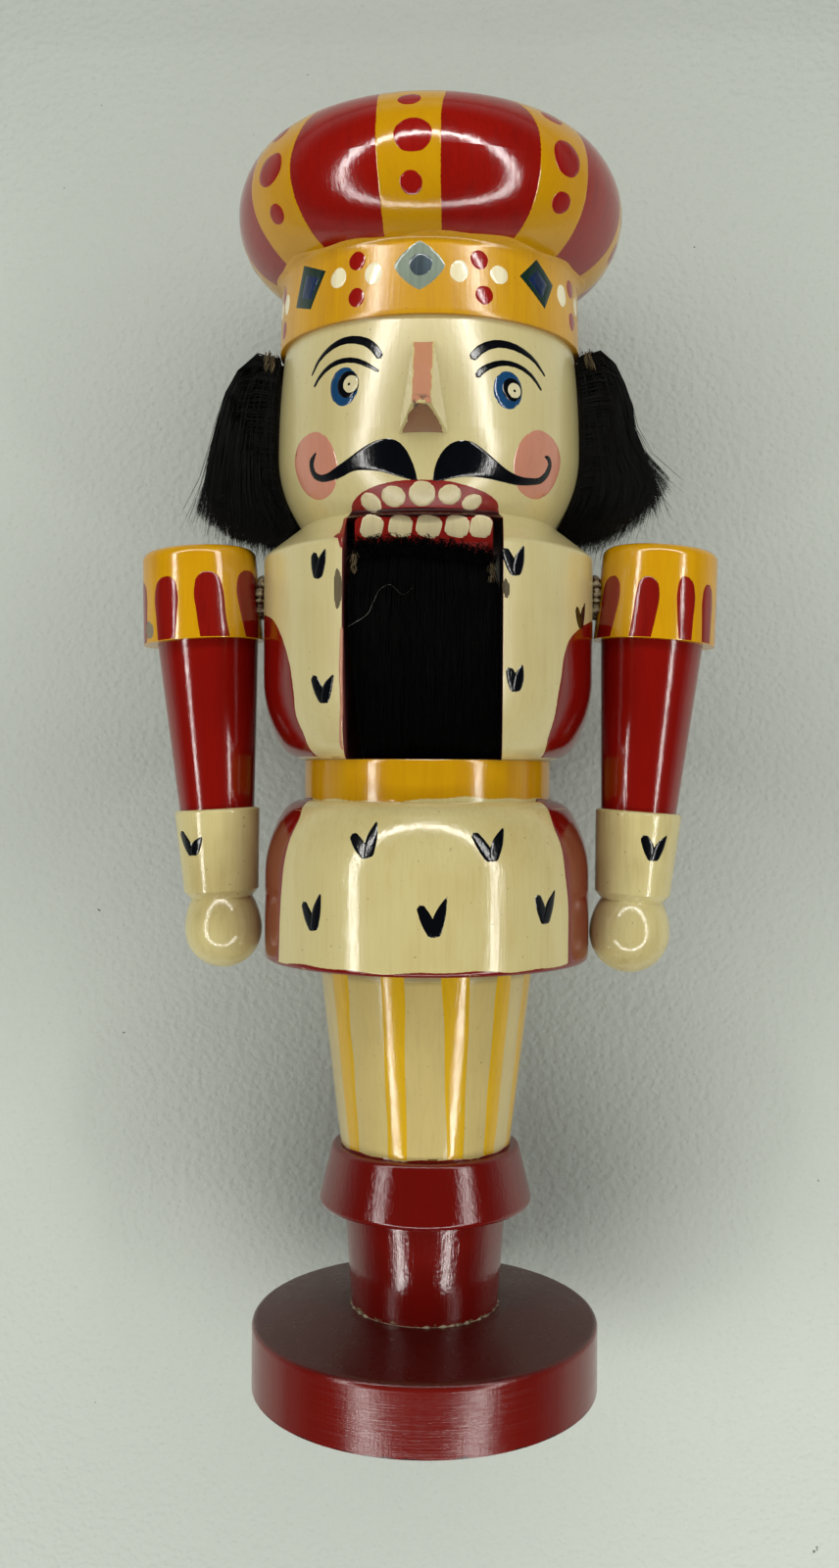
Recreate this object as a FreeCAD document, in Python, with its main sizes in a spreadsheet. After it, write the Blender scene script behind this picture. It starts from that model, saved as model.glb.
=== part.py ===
"""Wooden nutcracker figure of a crowned king: a column of turned pieces on dowels, with a jaw lever.

The origin is the centre of the base's underside, +Z is up and the figure faces -Y, in millimetres.
Left and right are the figure's own, so its left arm is at +X.
"""
import FreeCAD, Part
import math
import os

import Sketcher

V = FreeCAD.Vector

# Two places this close are the same
SAME = 1e-4

# Driving dimensions, in millimetres and degrees
SIZES = {
    # Base plate: its top rises from the rim to a flat seat for the boots
    "base_radius": 41.1,
    "base_height": 15.7,
    "base_edge": 1.6,
    "base_rise": 3.1,
    "base_seat_ledge": 2.5,
    # Boots: a tapered shaft under a flared cuff
    "ankle_radius": 17.5,
    "shaft_top_radius": 19.2,
    "shaft_height": 24.2,
    "boot_cuff_ledge": 2.0,
    "boot_cuff_flare": 3.3,
    "boot_cuff_height": 14.0,
    "boot_cuff_edge": 1.2,
    # Trousers
    "knee_radius": 20.2,
    "thigh_radius": 25.6,
    "trousers_height": 44.2,
    # Skirt of the coat and the belt, turned as one, out from the torso's foot
    "belt_ledge": 1.0,
    "skirt_flare": 9.3,
    "skirt_wall_height": 19.8,
    "skirt_shoulder_height": 17.6,
    "skirt_corner": 6.0,
    "skirt_edge": 1.0,
    "belt_height": 9.3,
    # Head and torso, turned as one
    "torso_radius": 39.1,
    "torso_turn_in": 10.9,
    "torso_bowl_height": 19.3,
    "torso_corner": 8.0,
    "torso_wall_height": 28.2,
    "shoulder_edge": 1.5,
    "shoulder_slope_height": 7.1,
    "head_radius": 35.8,
    "chin_turn_in": 5.7,
    "chin_height": 17.0,
    "brow_turn_in": 1.5,
    "face_height": 24.2,
    # Slot sawn through the torso for the jaw lever, its ceiling below the neck's crease
    "slot_width": 34.7,
    "slot_ceiling_drop": 1.1,
    # Crown: a band and a low dome, out from the brow
    "band_overhang": 1.2,
    "band_taper": 0.5,
    "band_height": 16.3,
    "crown_flare": 9.9,
    "crown_flare_height": 16.0,
    "dome_height": 22.0,
    "dome_corner": 17.0,
    # Nose, down from the head's top
    "nose_top_drop": 5.2,
    "nose_length": 16.9,
    "nose_underside_drop": 3.6,
    "nose_reach": 10.3,
    "nose_top_width": 4.8,
    "nose_tip_width": 4.1,
    "nose_flare": 0.25,
    "nose_root": 6.0,
    # Jaw lever, from the pin's axis, which lies below the slot's ceiling
    "pin_drop": 23.4,
    "pin_setback": 12.0,
    "pin_radius": 1.75,
    "pin_running_clearance": 0.08,
    "pin_recess": 0.4,
    "lever_width": 30.3,
    "jaw_gap": 0.4,
    "jaw_swing": 32.0,
    "jaw_setback": 9.6,
    "chin_depth": 20.7,
    "throat_depth": 10.0,
    "throat_run": 8.0,
    "handle_gap": 1.0,
    "handle_thickness": 9.3,
    "handle_length": 72.0,
    "handle_flare_length": 16.0,
    "handle_flare": 3.0,
    "handle_edge": 1.5,
    "handle_corner": 3.5,
    # Dowels
    "post_dowel_radius": 5.0,
    "post_dowel_depth": 10.0,
    "waist_dowel_radius": 3.0,
    "waist_dowel_depth": 8.0,
    "shoulder_dowel_radius": 3.0,
    "shoulder_dowel_depth": 11.0,
    "wrist_dowel_radius": 2.5,
    "wrist_dowel_depth": 7.0,
    "dowel_clearance": 0.05,
    "dowel_end_gap": 0.5,
    # Arms, with heights along each arm's own axis from the underside of its shoulder cap
    "shoulder_cap_height": 21.6,
    "shoulder_cap_foot_radius": 14.3,
    "shoulder_cap_taper": 0.8,
    "shoulder_cap_edge": 2.2,
    "shoulder_cap_crown": 1.5,
    "shoulder_cap_drop": 19.4,
    "shoulder_dowel_rise": 11.0,
    "shoulder_cap_overhang": 2.3,
    "sleeve_length": 39.9,
    "wrist_radius": 8.9,
    "tenon_radius": 5.0,
    "tenon_length": 5.5,
    "hand_cuff_ledge": 1.3,
    "hand_cuff_taper": 1.3,
    "hand_cuff_height": 19.5,
    "hand_cuff_edge": 0.8,
    "hand_neck_radius": 7.3,
    "hand_neck_height": 1.8,
    "hand_ball_drop": 7.6,
    "right_arm_tilt": 3.4,
    "left_arm_tilt": 4.1,
    "right_cap_gap": 0.6,
    "left_cap_gap": 0.3,
    "right_cap_offset": 1.0,
    "left_cap_offset": 0.5,
    "right_ball_radius": 9.2,
    "left_ball_radius": 9.5,
    # Hair round the back of the head, up from the neck's crease and down from the head's top
    "hair_wrap": 190.0,
    "hair_hide": 1.2,
    "hair_hide_rise": 4.4,
    "hair_hide_drop": 1.8,
    "hair_rise": 0.8,
    "hair_drop": 1.0,
    "hair_swell_rise": 10.6,
    "hair_top_thickness": 4.5,
    "hair_swell_thickness": 17.5,
    "hair_foot_thickness": 11.0,
    # Beard on the jaw's front, down from the jaw's top
    "beard_hide": 1.2,
    "beard_hide_width": 28.0,
    "beard_hide_height": 14.0,
    "beard_drop": 5.8,
    "beard_side_gap": 0.3,
    "beard_floor_gap": 0.4,
    "beard_front": 5.2,
    "beard_bulge_drop": 10.3,
    "beard_foot_setback": 3.2,
    "beard_depth": 15.0,
}

doc = FreeCAD.newDocument("nutcracker_king")
sheet = doc.addObject("Spreadsheet::Sheet", "Sizes")
for row, (alias, size) in enumerate(SIZES.items(), start=1):
    sheet.set(f"A{row}", alias)
    sheet.set(f"B{row}", str(size))
    sheet.setAlias(f"B{row}", alias)
doc.recompute()

# Heights of the joints between the stacked pieces
BASE_TOP = "(Sizes.base_height + Sizes.base_rise)"
BOOTS_HEIGHT = "(Sizes.shaft_height + Sizes.boot_cuff_height)"
BOOTS_TOP = f"({BASE_TOP} + {BOOTS_HEIGHT})"
TROUSERS_TOP = f"({BOOTS_TOP} + Sizes.trousers_height)"
SKIRT_HEIGHT = "(Sizes.skirt_wall_height + Sizes.skirt_shoulder_height)"
WAIST_TOP = f"({TROUSERS_TOP} + {SKIRT_HEIGHT} + Sizes.belt_height)"

# Radii of pieces that meet
CUFF_TOP_RADIUS = "(Sizes.knee_radius + Sizes.boot_cuff_ledge)"
CUFF_FOOT_RADIUS = f"({CUFF_TOP_RADIUS} + Sizes.boot_cuff_flare)"
TORSO_FOOT_RADIUS = "(Sizes.torso_radius - Sizes.torso_turn_in)"
BELT_RADIUS = f"({TORSO_FOOT_RADIUS} + Sizes.belt_ledge)"
SKIRT_RADIUS = f"({BELT_RADIUS} + Sizes.skirt_flare)"
NECK_RADIUS = "(Sizes.head_radius - Sizes.chin_turn_in)"
BROW_RADIUS = "(Sizes.head_radius - Sizes.brow_turn_in)"
BAND_RADIUS = f"({BROW_RADIUS} + Sizes.band_overhang)"
CAP_TOP_RADIUS = "(Sizes.shoulder_cap_foot_radius - Sizes.shoulder_cap_taper)"
CHEEK_MIDDLE = f"(({TORSO_FOOT_RADIUS} + Sizes.slot_width / 2) / 2)"
SLEEVE_RADIUS = "(Sizes.shoulder_cap_foot_radius - Sizes.shoulder_cap_overhang)"
HAND_CUFF_RADIUS = "(Sizes.wrist_radius + Sizes.hand_cuff_ledge)"

# Heights above the torso's foot
SHOULDER = "(Sizes.torso_bowl_height + Sizes.torso_wall_height)"
NECK = f"({SHOULDER} + Sizes.shoulder_slope_height)"
CHEEKS = f"({NECK} + Sizes.chin_height)"
HEAD_HEIGHT = f"({CHEEKS} + Sizes.face_height)"
SLOT_HEIGHT = f"({NECK} - Sizes.slot_ceiling_drop)"
PIN_HEIGHT = f"({SLOT_HEIGHT} - Sizes.pin_drop)"
CAP_FOOT = f"({SHOULDER} - Sizes.shoulder_cap_drop)"
NOSE_TOP = f"({HEAD_HEIGHT} - Sizes.nose_top_drop)"
NOSE_TIP = f"({NOSE_TOP} - Sizes.nose_length)"
NOSE_FOOT = f"({NOSE_TIP} - Sizes.nose_underside_drop)"

HEAD_TOP = f"({WAIST_TOP} + {HEAD_HEIGHT})"
PIN_LEVEL = f"({WAIST_TOP} + {PIN_HEIGHT})"

parts = []


def value(expression):
    """The number that an expression of the sheet's sizes gives."""
    return float(sheet.evalExpression(str(expression)))


def bind(target, **properties):
    """Ties properties to expressions; a double underscore in a name stands for a dot."""
    for name, expression in properties.items():
        target.setExpression(name.replace("__", "."), str(expression))


def keep(piece):
    """Lists a finished piece among those that are written, and gives it back."""
    parts.append(piece)
    return piece


def new_body(label):
    body = doc.addObject("PartDesign::Body", label)
    body.Label = label
    return body


def new_sketch(body, name, plane="XZ_Plane", offset=None):
    """A sketch on one of the body's own origin planes, moved along the plane's normal by an offset."""
    origin_plane = [item for item in body.Origin.OriginFeatures if item.Role == plane][0]
    sketch = body.newObject("Sketcher::SketchObject", name)
    sketch.AttachmentSupport = [(origin_plane, "")]
    sketch.MapMode = "FlatFace"
    if offset is not None:
        sketch.setExpression("AttachmentOffset.Base.z", str(offset))
    return sketch


def constrain(sketch, kind, *items, size=None):
    """Adds a constraint, with its size bound to an expression if it has one."""
    if size is None:
        sketch.addConstraint(Sketcher.Constraint(kind, *items))
        return
    index = sketch.addConstraint(Sketcher.Constraint(kind, *items, value(size)))
    sketch.setExpression(f"Constraints[{index}]", str(size))


def across_from_origin(sketch, vertex, distance):
    constrain(sketch, "DistanceX", -1, 1, *vertex, size=distance)


def up_from_origin(sketch, vertex, distance):
    constrain(sketch, "DistanceY", -1, 1, *vertex, size=distance)


class Outline:
    """A closed outline in a sketch, drawn corner by corner, each corner placed from the origin."""

    START, END, CENTRE = range(1, 4)

    def __init__(self, sketch, across, up):
        self.sketch = sketch
        self.first = self.last = (across, up)
        self.point = self.place(self.first)
        self.entry = self.exit = None
        self.settled = False

    def place(self, corner):
        return V(value(corner[0]), value(corner[1]), 0)

    def fix(self, vertex, corner):
        across_from_origin(self.sketch, vertex, corner[0])
        up_from_origin(self.sketch, vertex, corner[1])

    def join(self, entry, leave, corner):
        """Joins a new edge to the last one, and fixes the corner it starts at."""
        if self.exit is None:
            self.entry = entry
        else:
            constrain(self.sketch, "Coincident", *self.exit, *entry)
        if not self.settled:
            self.fix(entry, self.last)
        self.settled = False
        self.exit = leave
        self.last = corner
        self.point = self.place(corner)

    def line(self, across, up):
        corner = (across, up)
        edge = self.sketch.addGeometry(Part.LineSegment(self.point, self.place(corner)), False)
        self.join((edge, self.START), (edge, self.END), corner)
        return self

    def add_arc(self, start, end, centre):
        """An arc about a centre, and its vertices in the order in which the outline passes them."""
        first = start - centre
        second = end - centre
        angles = [math.atan2(first.y, first.x), math.atan2(second.y, second.x)]
        order = [self.START, self.END]
        if first.cross(second).z < 0:
            angles.reverse()
            order.reverse()
        circle = Part.Circle(centre, V(0, 0, 1), first.Length)
        edge = self.sketch.addGeometry(Part.ArcOfCircle(circle, *angles), False)
        return edge, (edge, order[0]), (edge, order[1])

    def arc(self, across, up, level=None):
        """An arc whose centre lies at a given level, or else on the upright axis."""
        corner = (across, up)
        start, end = self.point, self.place(corner)
        chord = end - start
        middle = (start + end) / 2
        if level is None:
            centre = V(0, middle.y + middle.x * chord.x / chord.y, 0)
        else:
            height = value(level)
            centre = V(middle.x + (middle.y - height) * chord.y / chord.x, height, 0)
        edge, entry, leave = self.add_arc(start, end, centre)
        self.join(entry, leave, corner)
        if level is None:
            across_from_origin(self.sketch, (edge, self.CENTRE), "0")
        else:
            up_from_origin(self.sketch, (edge, self.CENTRE), level)
        return self

    def arc_about_origin(self, across, up):
        """An arc about the outline's origin, whose end is fixed by its place across alone."""
        corner = (across, up)
        edge, entry, leave = self.add_arc(self.point, self.place(corner), V(0, 0, 0))
        self.join(entry, leave, corner)
        across_from_origin(self.sketch, (edge, self.CENTRE), "0")
        up_from_origin(self.sketch, (edge, self.CENTRE), "0")
        across_from_origin(self.sketch, leave, across)
        self.settled = True
        return self

    def oval(self, across, up, corner_radius, flat_first):
        """A quarter of an oval between a level end and an upright end, as two tangent arcs.

        The smaller arc has the corner radius, and lies at the end of the quarter's shorter side.
        """
        corner = (across, up)
        start, end = self.point, self.place(corner)
        flat, upright = (start, end) if flat_first else (end, start)
        width, height = upright.x - flat.x, abs(upright.y - flat.y)
        small = value(corner_radius)
        tall = height > width
        if tall:
            large = (width**2 + (height - small)**2 - small**2) / (2 * (width - small))
        else:
            large = ((width - small)**2 + height**2 - small**2) / (2 * (height - small))
        flat_radius, upright_radius = (small, large) if tall else (large, small)
        flat_centre = flat + V(0, math.copysign(flat_radius, upright.y - flat.y), 0)
        upright_centre = upright - V(upright_radius, 0, 0)
        small_centre, large_centre = (flat_centre, upright_centre) if tall else (upright_centre, flat_centre)
        junction = small_centre + (small_centre - large_centre).normalize() * small
        if flat_first:
            flat_arc, entry, middle = self.add_arc(start, junction, flat_centre)
            upright_arc, restart, leave = self.add_arc(junction, end, upright_centre)
            flat_corner, upright_corner = self.last, corner
        else:
            upright_arc, entry, middle = self.add_arc(start, junction, upright_centre)
            flat_arc, restart, leave = self.add_arc(junction, end, flat_centre)
            flat_corner, upright_corner = corner, self.last
        self.join(entry, leave, corner)
        constrain(self.sketch, "Tangent", *middle, *restart)
        across_from_origin(self.sketch, (flat_arc, self.CENTRE), flat_corner[0])
        up_from_origin(self.sketch, (upright_arc, self.CENTRE), upright_corner[1])
        constrain(self.sketch, "Radius", flat_arc if tall else upright_arc, size=corner_radius)
        return self

    def close(self):
        edge = self.sketch.addGeometry(Part.LineSegment(self.point, self.place(self.first)), False)
        self.join((edge, self.START), (edge, self.END), self.first)
        constrain(self.sketch, "Coincident", *self.exit, *self.entry)
        return self.sketch


def turn(body, name, sketch, angle=None):
    """Revolves a half section about the body's upright axis."""
    revolution = body.newObject("PartDesign::Revolution", name)
    revolution.Profile = sketch
    revolution.ReferenceAxis = (sketch, ["V_Axis"])
    revolution.Angle = 360
    if angle is not None:
        bind(revolution, Angle=angle)
    doc.recompute()
    return revolution


def round_edges(body, name, radius, wanted):
    """Rounds the edges of a body that a test of their shape picks out."""
    doc.recompute()
    last = body.Tip
    edges = [f"Edge{n}" for n, edge in enumerate(last.Shape.Edges, start=1) if wanted(edge)]
    if not edges:
        raise RuntimeError(f"no edge to round in {name}")
    fillet = body.newObject("PartDesign::Fillet", name)
    fillet.Base = (last, edges)
    bind(fillet, Radius=radius)
    doc.recompute()
    return fillet


def close_to(point, other):
    return point.distanceToPoint(other) < SAME


def rim(radius, height):
    """A test for the circular edges of one radius at one height of a turned piece."""
    size, level = value(radius), value(height)

    def wanted(edge):
        if edge.Degenerated or not isinstance(edge.Curve, Part.Circle):
            return False
        return abs(edge.Curve.Radius - size) < SAME and close_to(edge.Curve.Center, V(0, 0, level))
    return wanted


def cut(body, name, sketch, length=None, reverse=False, symmetric=False):
    """Cuts a sketch's outline out of a body, and checks that it has cut something."""
    doc.recompute()
    before = body.Shape.Volume
    pocket = body.newObject("PartDesign::Pocket", name)
    pocket.Profile = sketch
    pocket.Reversed = reverse
    if symmetric:
        pocket.SideType = "Symmetric"
    if length is None:
        pocket.Type = "ThroughAll"
    else:
        bind(pocket, Length=length)
    doc.recompute()
    if body.Shape.Volume > before - 1:
        raise RuntimeError(f"{name} cuts nothing")
    return pocket


def circle(sketch, across, up, radius):
    """Draws a circle at a place from the origin, and gives the sketch back."""
    shape = Part.Circle(V(value(across), value(up), 0), V(0, 0, 1), value(radius))
    ring = sketch.addGeometry(shape, False)
    across_from_origin(sketch, (ring, Outline.CENTRE), across)
    up_from_origin(sketch, (ring, Outline.CENTRE), up)
    constrain(sketch, "Radius", ring, size=radius)
    return sketch


def rectangle(sketch, left, right, bottom, top):
    outline = Outline(sketch, left, bottom)
    return outline.line(right, bottom).line(right, top).line(left, top).close()


def dowel_hole(body, name, radius, depth, seat, upwards, across="0"):
    """A blind hole for a dowel, from a level face of the piece up or down into it."""
    sketch = new_sketch(body, f"{name}_circle", "XY_Plane", seat)
    circle(sketch, across, "0", f"{radius} + Sizes.dowel_clearance")
    return cut(body, name, sketch, f"{depth} + Sizes.dowel_end_gap", reverse=upwards)


def dowel(label, radius, depth, seat, across="0"):
    """An upright dowel, half of it on either side of the seat between two pieces."""
    peg = doc.addObject("Part::Cylinder", label)
    peg.Label = label
    bind(peg, Radius=radius, Height=f"2 * ({depth})")
    bind(peg, Placement__Base__x=across, Placement__Base__z=f"{seat} - ({depth})")
    return keep(peg)


def rod(label, radius, start, length, setback, level):
    """A rod that lies along X."""
    peg = doc.addObject("Part::Cylinder", label)
    peg.Label = label
    peg.Placement = FreeCAD.Placement(V(0, 0, 0), FreeCAD.Rotation(V(0, 1, 0), 90))
    bind(peg, Radius=radius, Height=length)
    bind(peg, Placement__Base__x=start, Placement__Base__y=setback, Placement__Base__z=level)
    return peg


def make_base_plate():
    body = new_body("base_plate")
    outline = Outline(new_sketch(body, "base_section"), "0", "0")
    outline.line("Sizes.base_radius", "0").line("Sizes.base_radius", "Sizes.base_height")
    outline.line("Sizes.ankle_radius + Sizes.base_seat_ledge", BASE_TOP)
    turn(body, "base_turning", outline.line("0", BASE_TOP).close())
    round_edges(body, "base_rounding", "Sizes.base_edge", rim("Sizes.base_radius", "Sizes.base_height"))
    dowel_hole(body, "ankle_hole", "Sizes.post_dowel_radius", "Sizes.post_dowel_depth", BASE_TOP,
               upwards=False)
    return keep(body)


def make_boots():
    body = new_body("boots")
    outline = Outline(new_sketch(body, "boots_section"), "0", "0")
    outline.line("Sizes.ankle_radius", "0").line("Sizes.shaft_top_radius", "Sizes.shaft_height")
    outline.line(CUFF_FOOT_RADIUS, "Sizes.shaft_height")
    outline.line(CUFF_TOP_RADIUS, BOOTS_HEIGHT)
    turn(body, "boots_turning", outline.line("0", BOOTS_HEIGHT).close())
    round_edges(body, "cuff_foot_rounding", "Sizes.boot_cuff_edge",
                rim(CUFF_FOOT_RADIUS, "Sizes.shaft_height"))
    round_edges(body, "cuff_top_rounding", "Sizes.boot_cuff_edge",
                rim(CUFF_TOP_RADIUS, BOOTS_HEIGHT))
    post_dowel_holes(body, BOOTS_HEIGHT)
    bind(body, Placement__Base__z=BASE_TOP)
    return keep(body)


def post_dowel_holes(body, height):
    """The holes in the foot and the top of a piece of the column."""
    sizes = ("Sizes.post_dowel_radius", "Sizes.post_dowel_depth")
    dowel_hole(body, f"{body.Label}_foot_hole", *sizes, "0", upwards=True)
    dowel_hole(body, f"{body.Label}_top_hole", *sizes, height, upwards=False)


def make_trousers():
    body = new_body("trousers")
    outline = Outline(new_sketch(body, "trousers_section"), "0", "0")
    outline.line("Sizes.knee_radius", "0").line("Sizes.thigh_radius", "Sizes.trousers_height")
    turn(body, "trousers_turning", outline.line("0", "Sizes.trousers_height").close())
    post_dowel_holes(body, "Sizes.trousers_height")
    bind(body, Placement__Base__z=BOOTS_TOP)
    return keep(body)


def make_waist_and_skirt():
    body = new_body("waist_and_skirt")
    height = f"{SKIRT_HEIGHT} + Sizes.belt_height"
    outline = Outline(new_sketch(body, "skirt_section"), "0", "0")
    outline.line(SKIRT_RADIUS, "0").line(SKIRT_RADIUS, "Sizes.skirt_wall_height")
    outline.oval(BELT_RADIUS, SKIRT_HEIGHT, "Sizes.skirt_corner", flat_first=False)
    outline.line(BELT_RADIUS, height)
    turn(body, "skirt_turning", outline.line("0", height).close())
    round_edges(body, "skirt_rounding", "Sizes.skirt_edge", rim(SKIRT_RADIUS, "0"))
    dowel_hole(body, "hip_hole", "Sizes.post_dowel_radius", "Sizes.post_dowel_depth", "0", upwards=True)
    waist_dowel_holes(body, "belt", height, upwards=False)
    bind(body, Placement__Base__z=TROUSERS_TOP)
    return keep(body)


def waist_dowel_holes(body, name, seat, upwards):
    """The holes for the two dowels under the cheeks of the torso."""
    for side, sign in (("left", ""), ("right", "-")):
        dowel_hole(body, f"{name}_{side}_hole", "Sizes.waist_dowel_radius", "Sizes.waist_dowel_depth",
                   seat, upwards, f"{sign}{CHEEK_MIDDLE}")


def make_head_and_torso():
    body = new_body("head_and_torso")
    outline = Outline(new_sketch(body, "torso_section"), "0", "0")
    outline.line(TORSO_FOOT_RADIUS, "0")
    outline.oval("Sizes.torso_radius", "Sizes.torso_bowl_height", "Sizes.torso_corner", flat_first=True)
    outline.line("Sizes.torso_radius", SHOULDER).line(NECK_RADIUS, NECK)
    outline.arc("Sizes.head_radius", CHEEKS, CHEEKS).arc(BROW_RADIUS, HEAD_HEIGHT, CHEEKS)
    turn(body, "torso_turning", outline.line("0", HEAD_HEIGHT).close())
    round_edges(body, "shoulder_rounding", "Sizes.shoulder_edge", rim("Sizes.torso_radius", SHOULDER))
    slot = new_sketch(body, "slot_outline")
    rectangle(slot, "-Sizes.slot_width / 2", "Sizes.slot_width / 2", "0", SLOT_HEIGHT)
    cut(body, "jaw_slot", slot, symmetric=True)
    pin_bore = circle(new_sketch(body, "pin_bore_circle", "YZ_Plane"),
                      "Sizes.pin_setback", PIN_HEIGHT, "Sizes.pin_radius")
    cut(body, "pin_bore", pin_bore, symmetric=True)
    for side, sign in (("left", ""), ("right", "-")):
        inner_end = f"{sign}(Sizes.torso_radius - Sizes.shoulder_dowel_depth - Sizes.dowel_end_gap)"
        sketch = new_sketch(body, f"{side}_shoulder_circle", "YZ_Plane", inner_end)
        circle(sketch, "0", f"{CAP_FOOT} + Sizes.shoulder_dowel_rise",
               "Sizes.shoulder_dowel_radius + Sizes.dowel_clearance")
        cut(body, f"{side}_shoulder_hole", sketch, reverse=side == "left")
    waist_dowel_holes(body, "torso", "0", upwards=True)
    dowel_hole(body, "crown_hole", "Sizes.post_dowel_radius", "Sizes.post_dowel_depth",
               HEAD_HEIGHT, upwards=False)
    bind(body, Placement__Base__z=WAIST_TOP)
    return keep(body)


def make_crown():
    body = new_body("crown")
    widest = "(Sizes.band_height + Sizes.crown_flare_height)"
    outline = Outline(new_sketch(body, "crown_section"), "0", "0")
    outline.line(BAND_RADIUS, "0").line(f"{BAND_RADIUS} - Sizes.band_taper", "Sizes.band_height")
    outline.arc(f"{BAND_RADIUS} + Sizes.crown_flare", widest, widest)
    outline.oval("0", f"{widest} + Sizes.dome_height", "Sizes.dome_corner", flat_first=False)
    turn(body, "crown_turning", outline.close())
    dowel_hole(body, "crown_foot_hole", "Sizes.post_dowel_radius", "Sizes.post_dowel_depth",
               "0", upwards=True)
    bind(body, Placement__Base__z=HEAD_TOP)
    return keep(body)


def nose_section(wedge, name, level):
    """A level section of the nose: narrow in front, flaring back into the head."""
    fall = f"({NOSE_TOP} - {level}) / Sizes.nose_length"
    front = f"({BROW_RADIUS} + ({fall}) * (Sizes.brow_turn_in + Sizes.nose_reach))"
    half = f"(Sizes.nose_top_width + ({fall}) * (Sizes.nose_tip_width - Sizes.nose_top_width)) / 2"
    back = f"({BROW_RADIUS} - Sizes.nose_root)"
    back_half = f"({half} + Sizes.nose_flare * ({front} - {back}))"
    outline = Outline(new_sketch(wedge, name, "XY_Plane", level), f"-({half})", f"-{front}")
    outline.line(half, f"-{front}").line(back_half, f"-{back}").line(f"-{back_half}", f"-{back}")
    return outline.close()


def make_nose(head):
    """A wedge that grows out of the face from its top, coped to the round of the head."""
    wedge = new_body("nose_wedge")
    low = f"({NOSE_FOOT} - Sizes.nose_length)"
    loft = wedge.newObject("PartDesign::AdditiveLoft", "nose_loft")
    loft.Profile = nose_section(wedge, "nose_top_section", NOSE_TOP)
    loft.Sections = [(nose_section(wedge, "nose_low_section", low), [""])]
    loft.Ruled = True
    tip = "-(Sizes.head_radius + Sizes.nose_reach)"
    far = "-(Sizes.head_radius + 3 * Sizes.nose_reach)"
    slope = "Sizes.nose_underside_drop / Sizes.nose_reach"
    outline = Outline(new_sketch(wedge, "nose_underside", "YZ_Plane"), far, NOSE_TIP)
    outline.line(tip, NOSE_TIP).line("0", f"{NOSE_FOOT} - Sizes.head_radius * {slope}")
    outline.line("0", f"{low} - Sizes.head_radius * {slope}")
    outline.line(far, f"{low} - Sizes.head_radius * {slope}")
    cut(wedge, "nose_underside_cut", outline.close(), symmetric=True)
    bind(wedge, Placement__Base__z=WAIST_TOP)
    return keep(cut_away("nose", wedge, head))


def cut_away(label, base, tool):
    """A piece cut to the shape of another one, or bored by it."""
    piece = doc.addObject("Part::Cut", label)
    piece.Label = label
    piece.Base = base
    piece.Tool = tool
    return piece


# The jaw lever's places, across from the pin's axis to the back and up from it
JAW_REACH = "(Sizes.torso_radius + Sizes.pin_setback - Sizes.jaw_setback)"
LEVER_TOP = "(Sizes.pin_drop - Sizes.jaw_gap)"
HANDLE_INSIDE = "(Sizes.torso_radius + Sizes.handle_gap - Sizes.pin_setback)"
HANDLE_OUTSIDE = f"({HANDLE_INSIDE} + Sizes.handle_thickness)"
HANDLE_HEAD = f"({LEVER_TOP} - {HANDLE_OUTSIDE} * sin(Sizes.jaw_swing)) / cos(Sizes.jaw_swing)"


def make_jaw_lever():
    """The jaw, its knuckle about the pin and the handle, sawn from one board.

    Behind the knuckle the top slopes so that it meets the slot's ceiling at full swing.
    """
    body = new_body("jaw_lever")
    bend = "-(Sizes.handle_length - Sizes.handle_flare_length)"
    outline = Outline(new_sketch(body, "lever_outline", "YZ_Plane"), f"-{JAW_REACH}", LEVER_TOP)
    outline.line("0", LEVER_TOP)
    outline.arc_about_origin(f"{LEVER_TOP} * sin(Sizes.jaw_swing)", f"{LEVER_TOP} * cos(Sizes.jaw_swing)")
    outline.line(HANDLE_OUTSIDE, HANDLE_HEAD).line(HANDLE_OUTSIDE, bend)
    outline.line(f"{HANDLE_OUTSIDE} + Sizes.handle_flare", "-Sizes.handle_length")
    outline.line(f"{HANDLE_INSIDE} + Sizes.handle_flare", "-Sizes.handle_length")
    outline.line(HANDLE_INSIDE, bend).line(HANDLE_INSIDE, "-Sizes.throat_depth")
    outline.line("-Sizes.throat_run", "-Sizes.throat_depth")
    outline.line(f"-{JAW_REACH}", f"{LEVER_TOP} - Sizes.chin_depth")
    pad = body.newObject("PartDesign::Pad", "lever_board")
    pad.Profile = outline.close()
    pad.SideType = "Symmetric"
    bind(pad, Length="Sizes.lever_width")
    corners = [(HANDLE_OUTSIDE, HANDLE_HEAD), (HANDLE_INSIDE, "-Sizes.throat_depth")]
    places = [V(0, value(across), value(up)) for across, up in corners]
    round_edges(body, "handle_corners", "Sizes.handle_corner",
                lambda edge: any(close_to(edge.CenterOfMass, place) for place in places))
    outside = value(HANDLE_OUTSIDE)

    def handle_arris(edge):
        first, last = (vertex.Point for vertex in edge.Vertexes)
        along = abs(first.x - last.x) < SAME
        return along and min(first.y, last.y) > outside - SAME
    round_edges(body, "handle_arrises", "Sizes.handle_edge", handle_arris)
    bore = circle(new_sketch(body, "lever_bore_circle", "YZ_Plane"), "0", "0",
                  "Sizes.pin_radius + Sizes.pin_running_clearance")
    cut(body, "lever_bore", bore, symmetric=True)
    bind(body, Placement__Base__y="Sizes.pin_setback", Placement__Base__z=PIN_LEVEL)
    return keep(body)


def make_jaw_pin():
    half = "(sqrt(Sizes.torso_radius^2 - Sizes.pin_setback^2) - Sizes.pin_recess)"
    return keep(rod("jaw_pin", "Sizes.pin_radius", f"-{half}", f"2 * {half}",
                    "Sizes.pin_setback", PIN_LEVEL))


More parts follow.
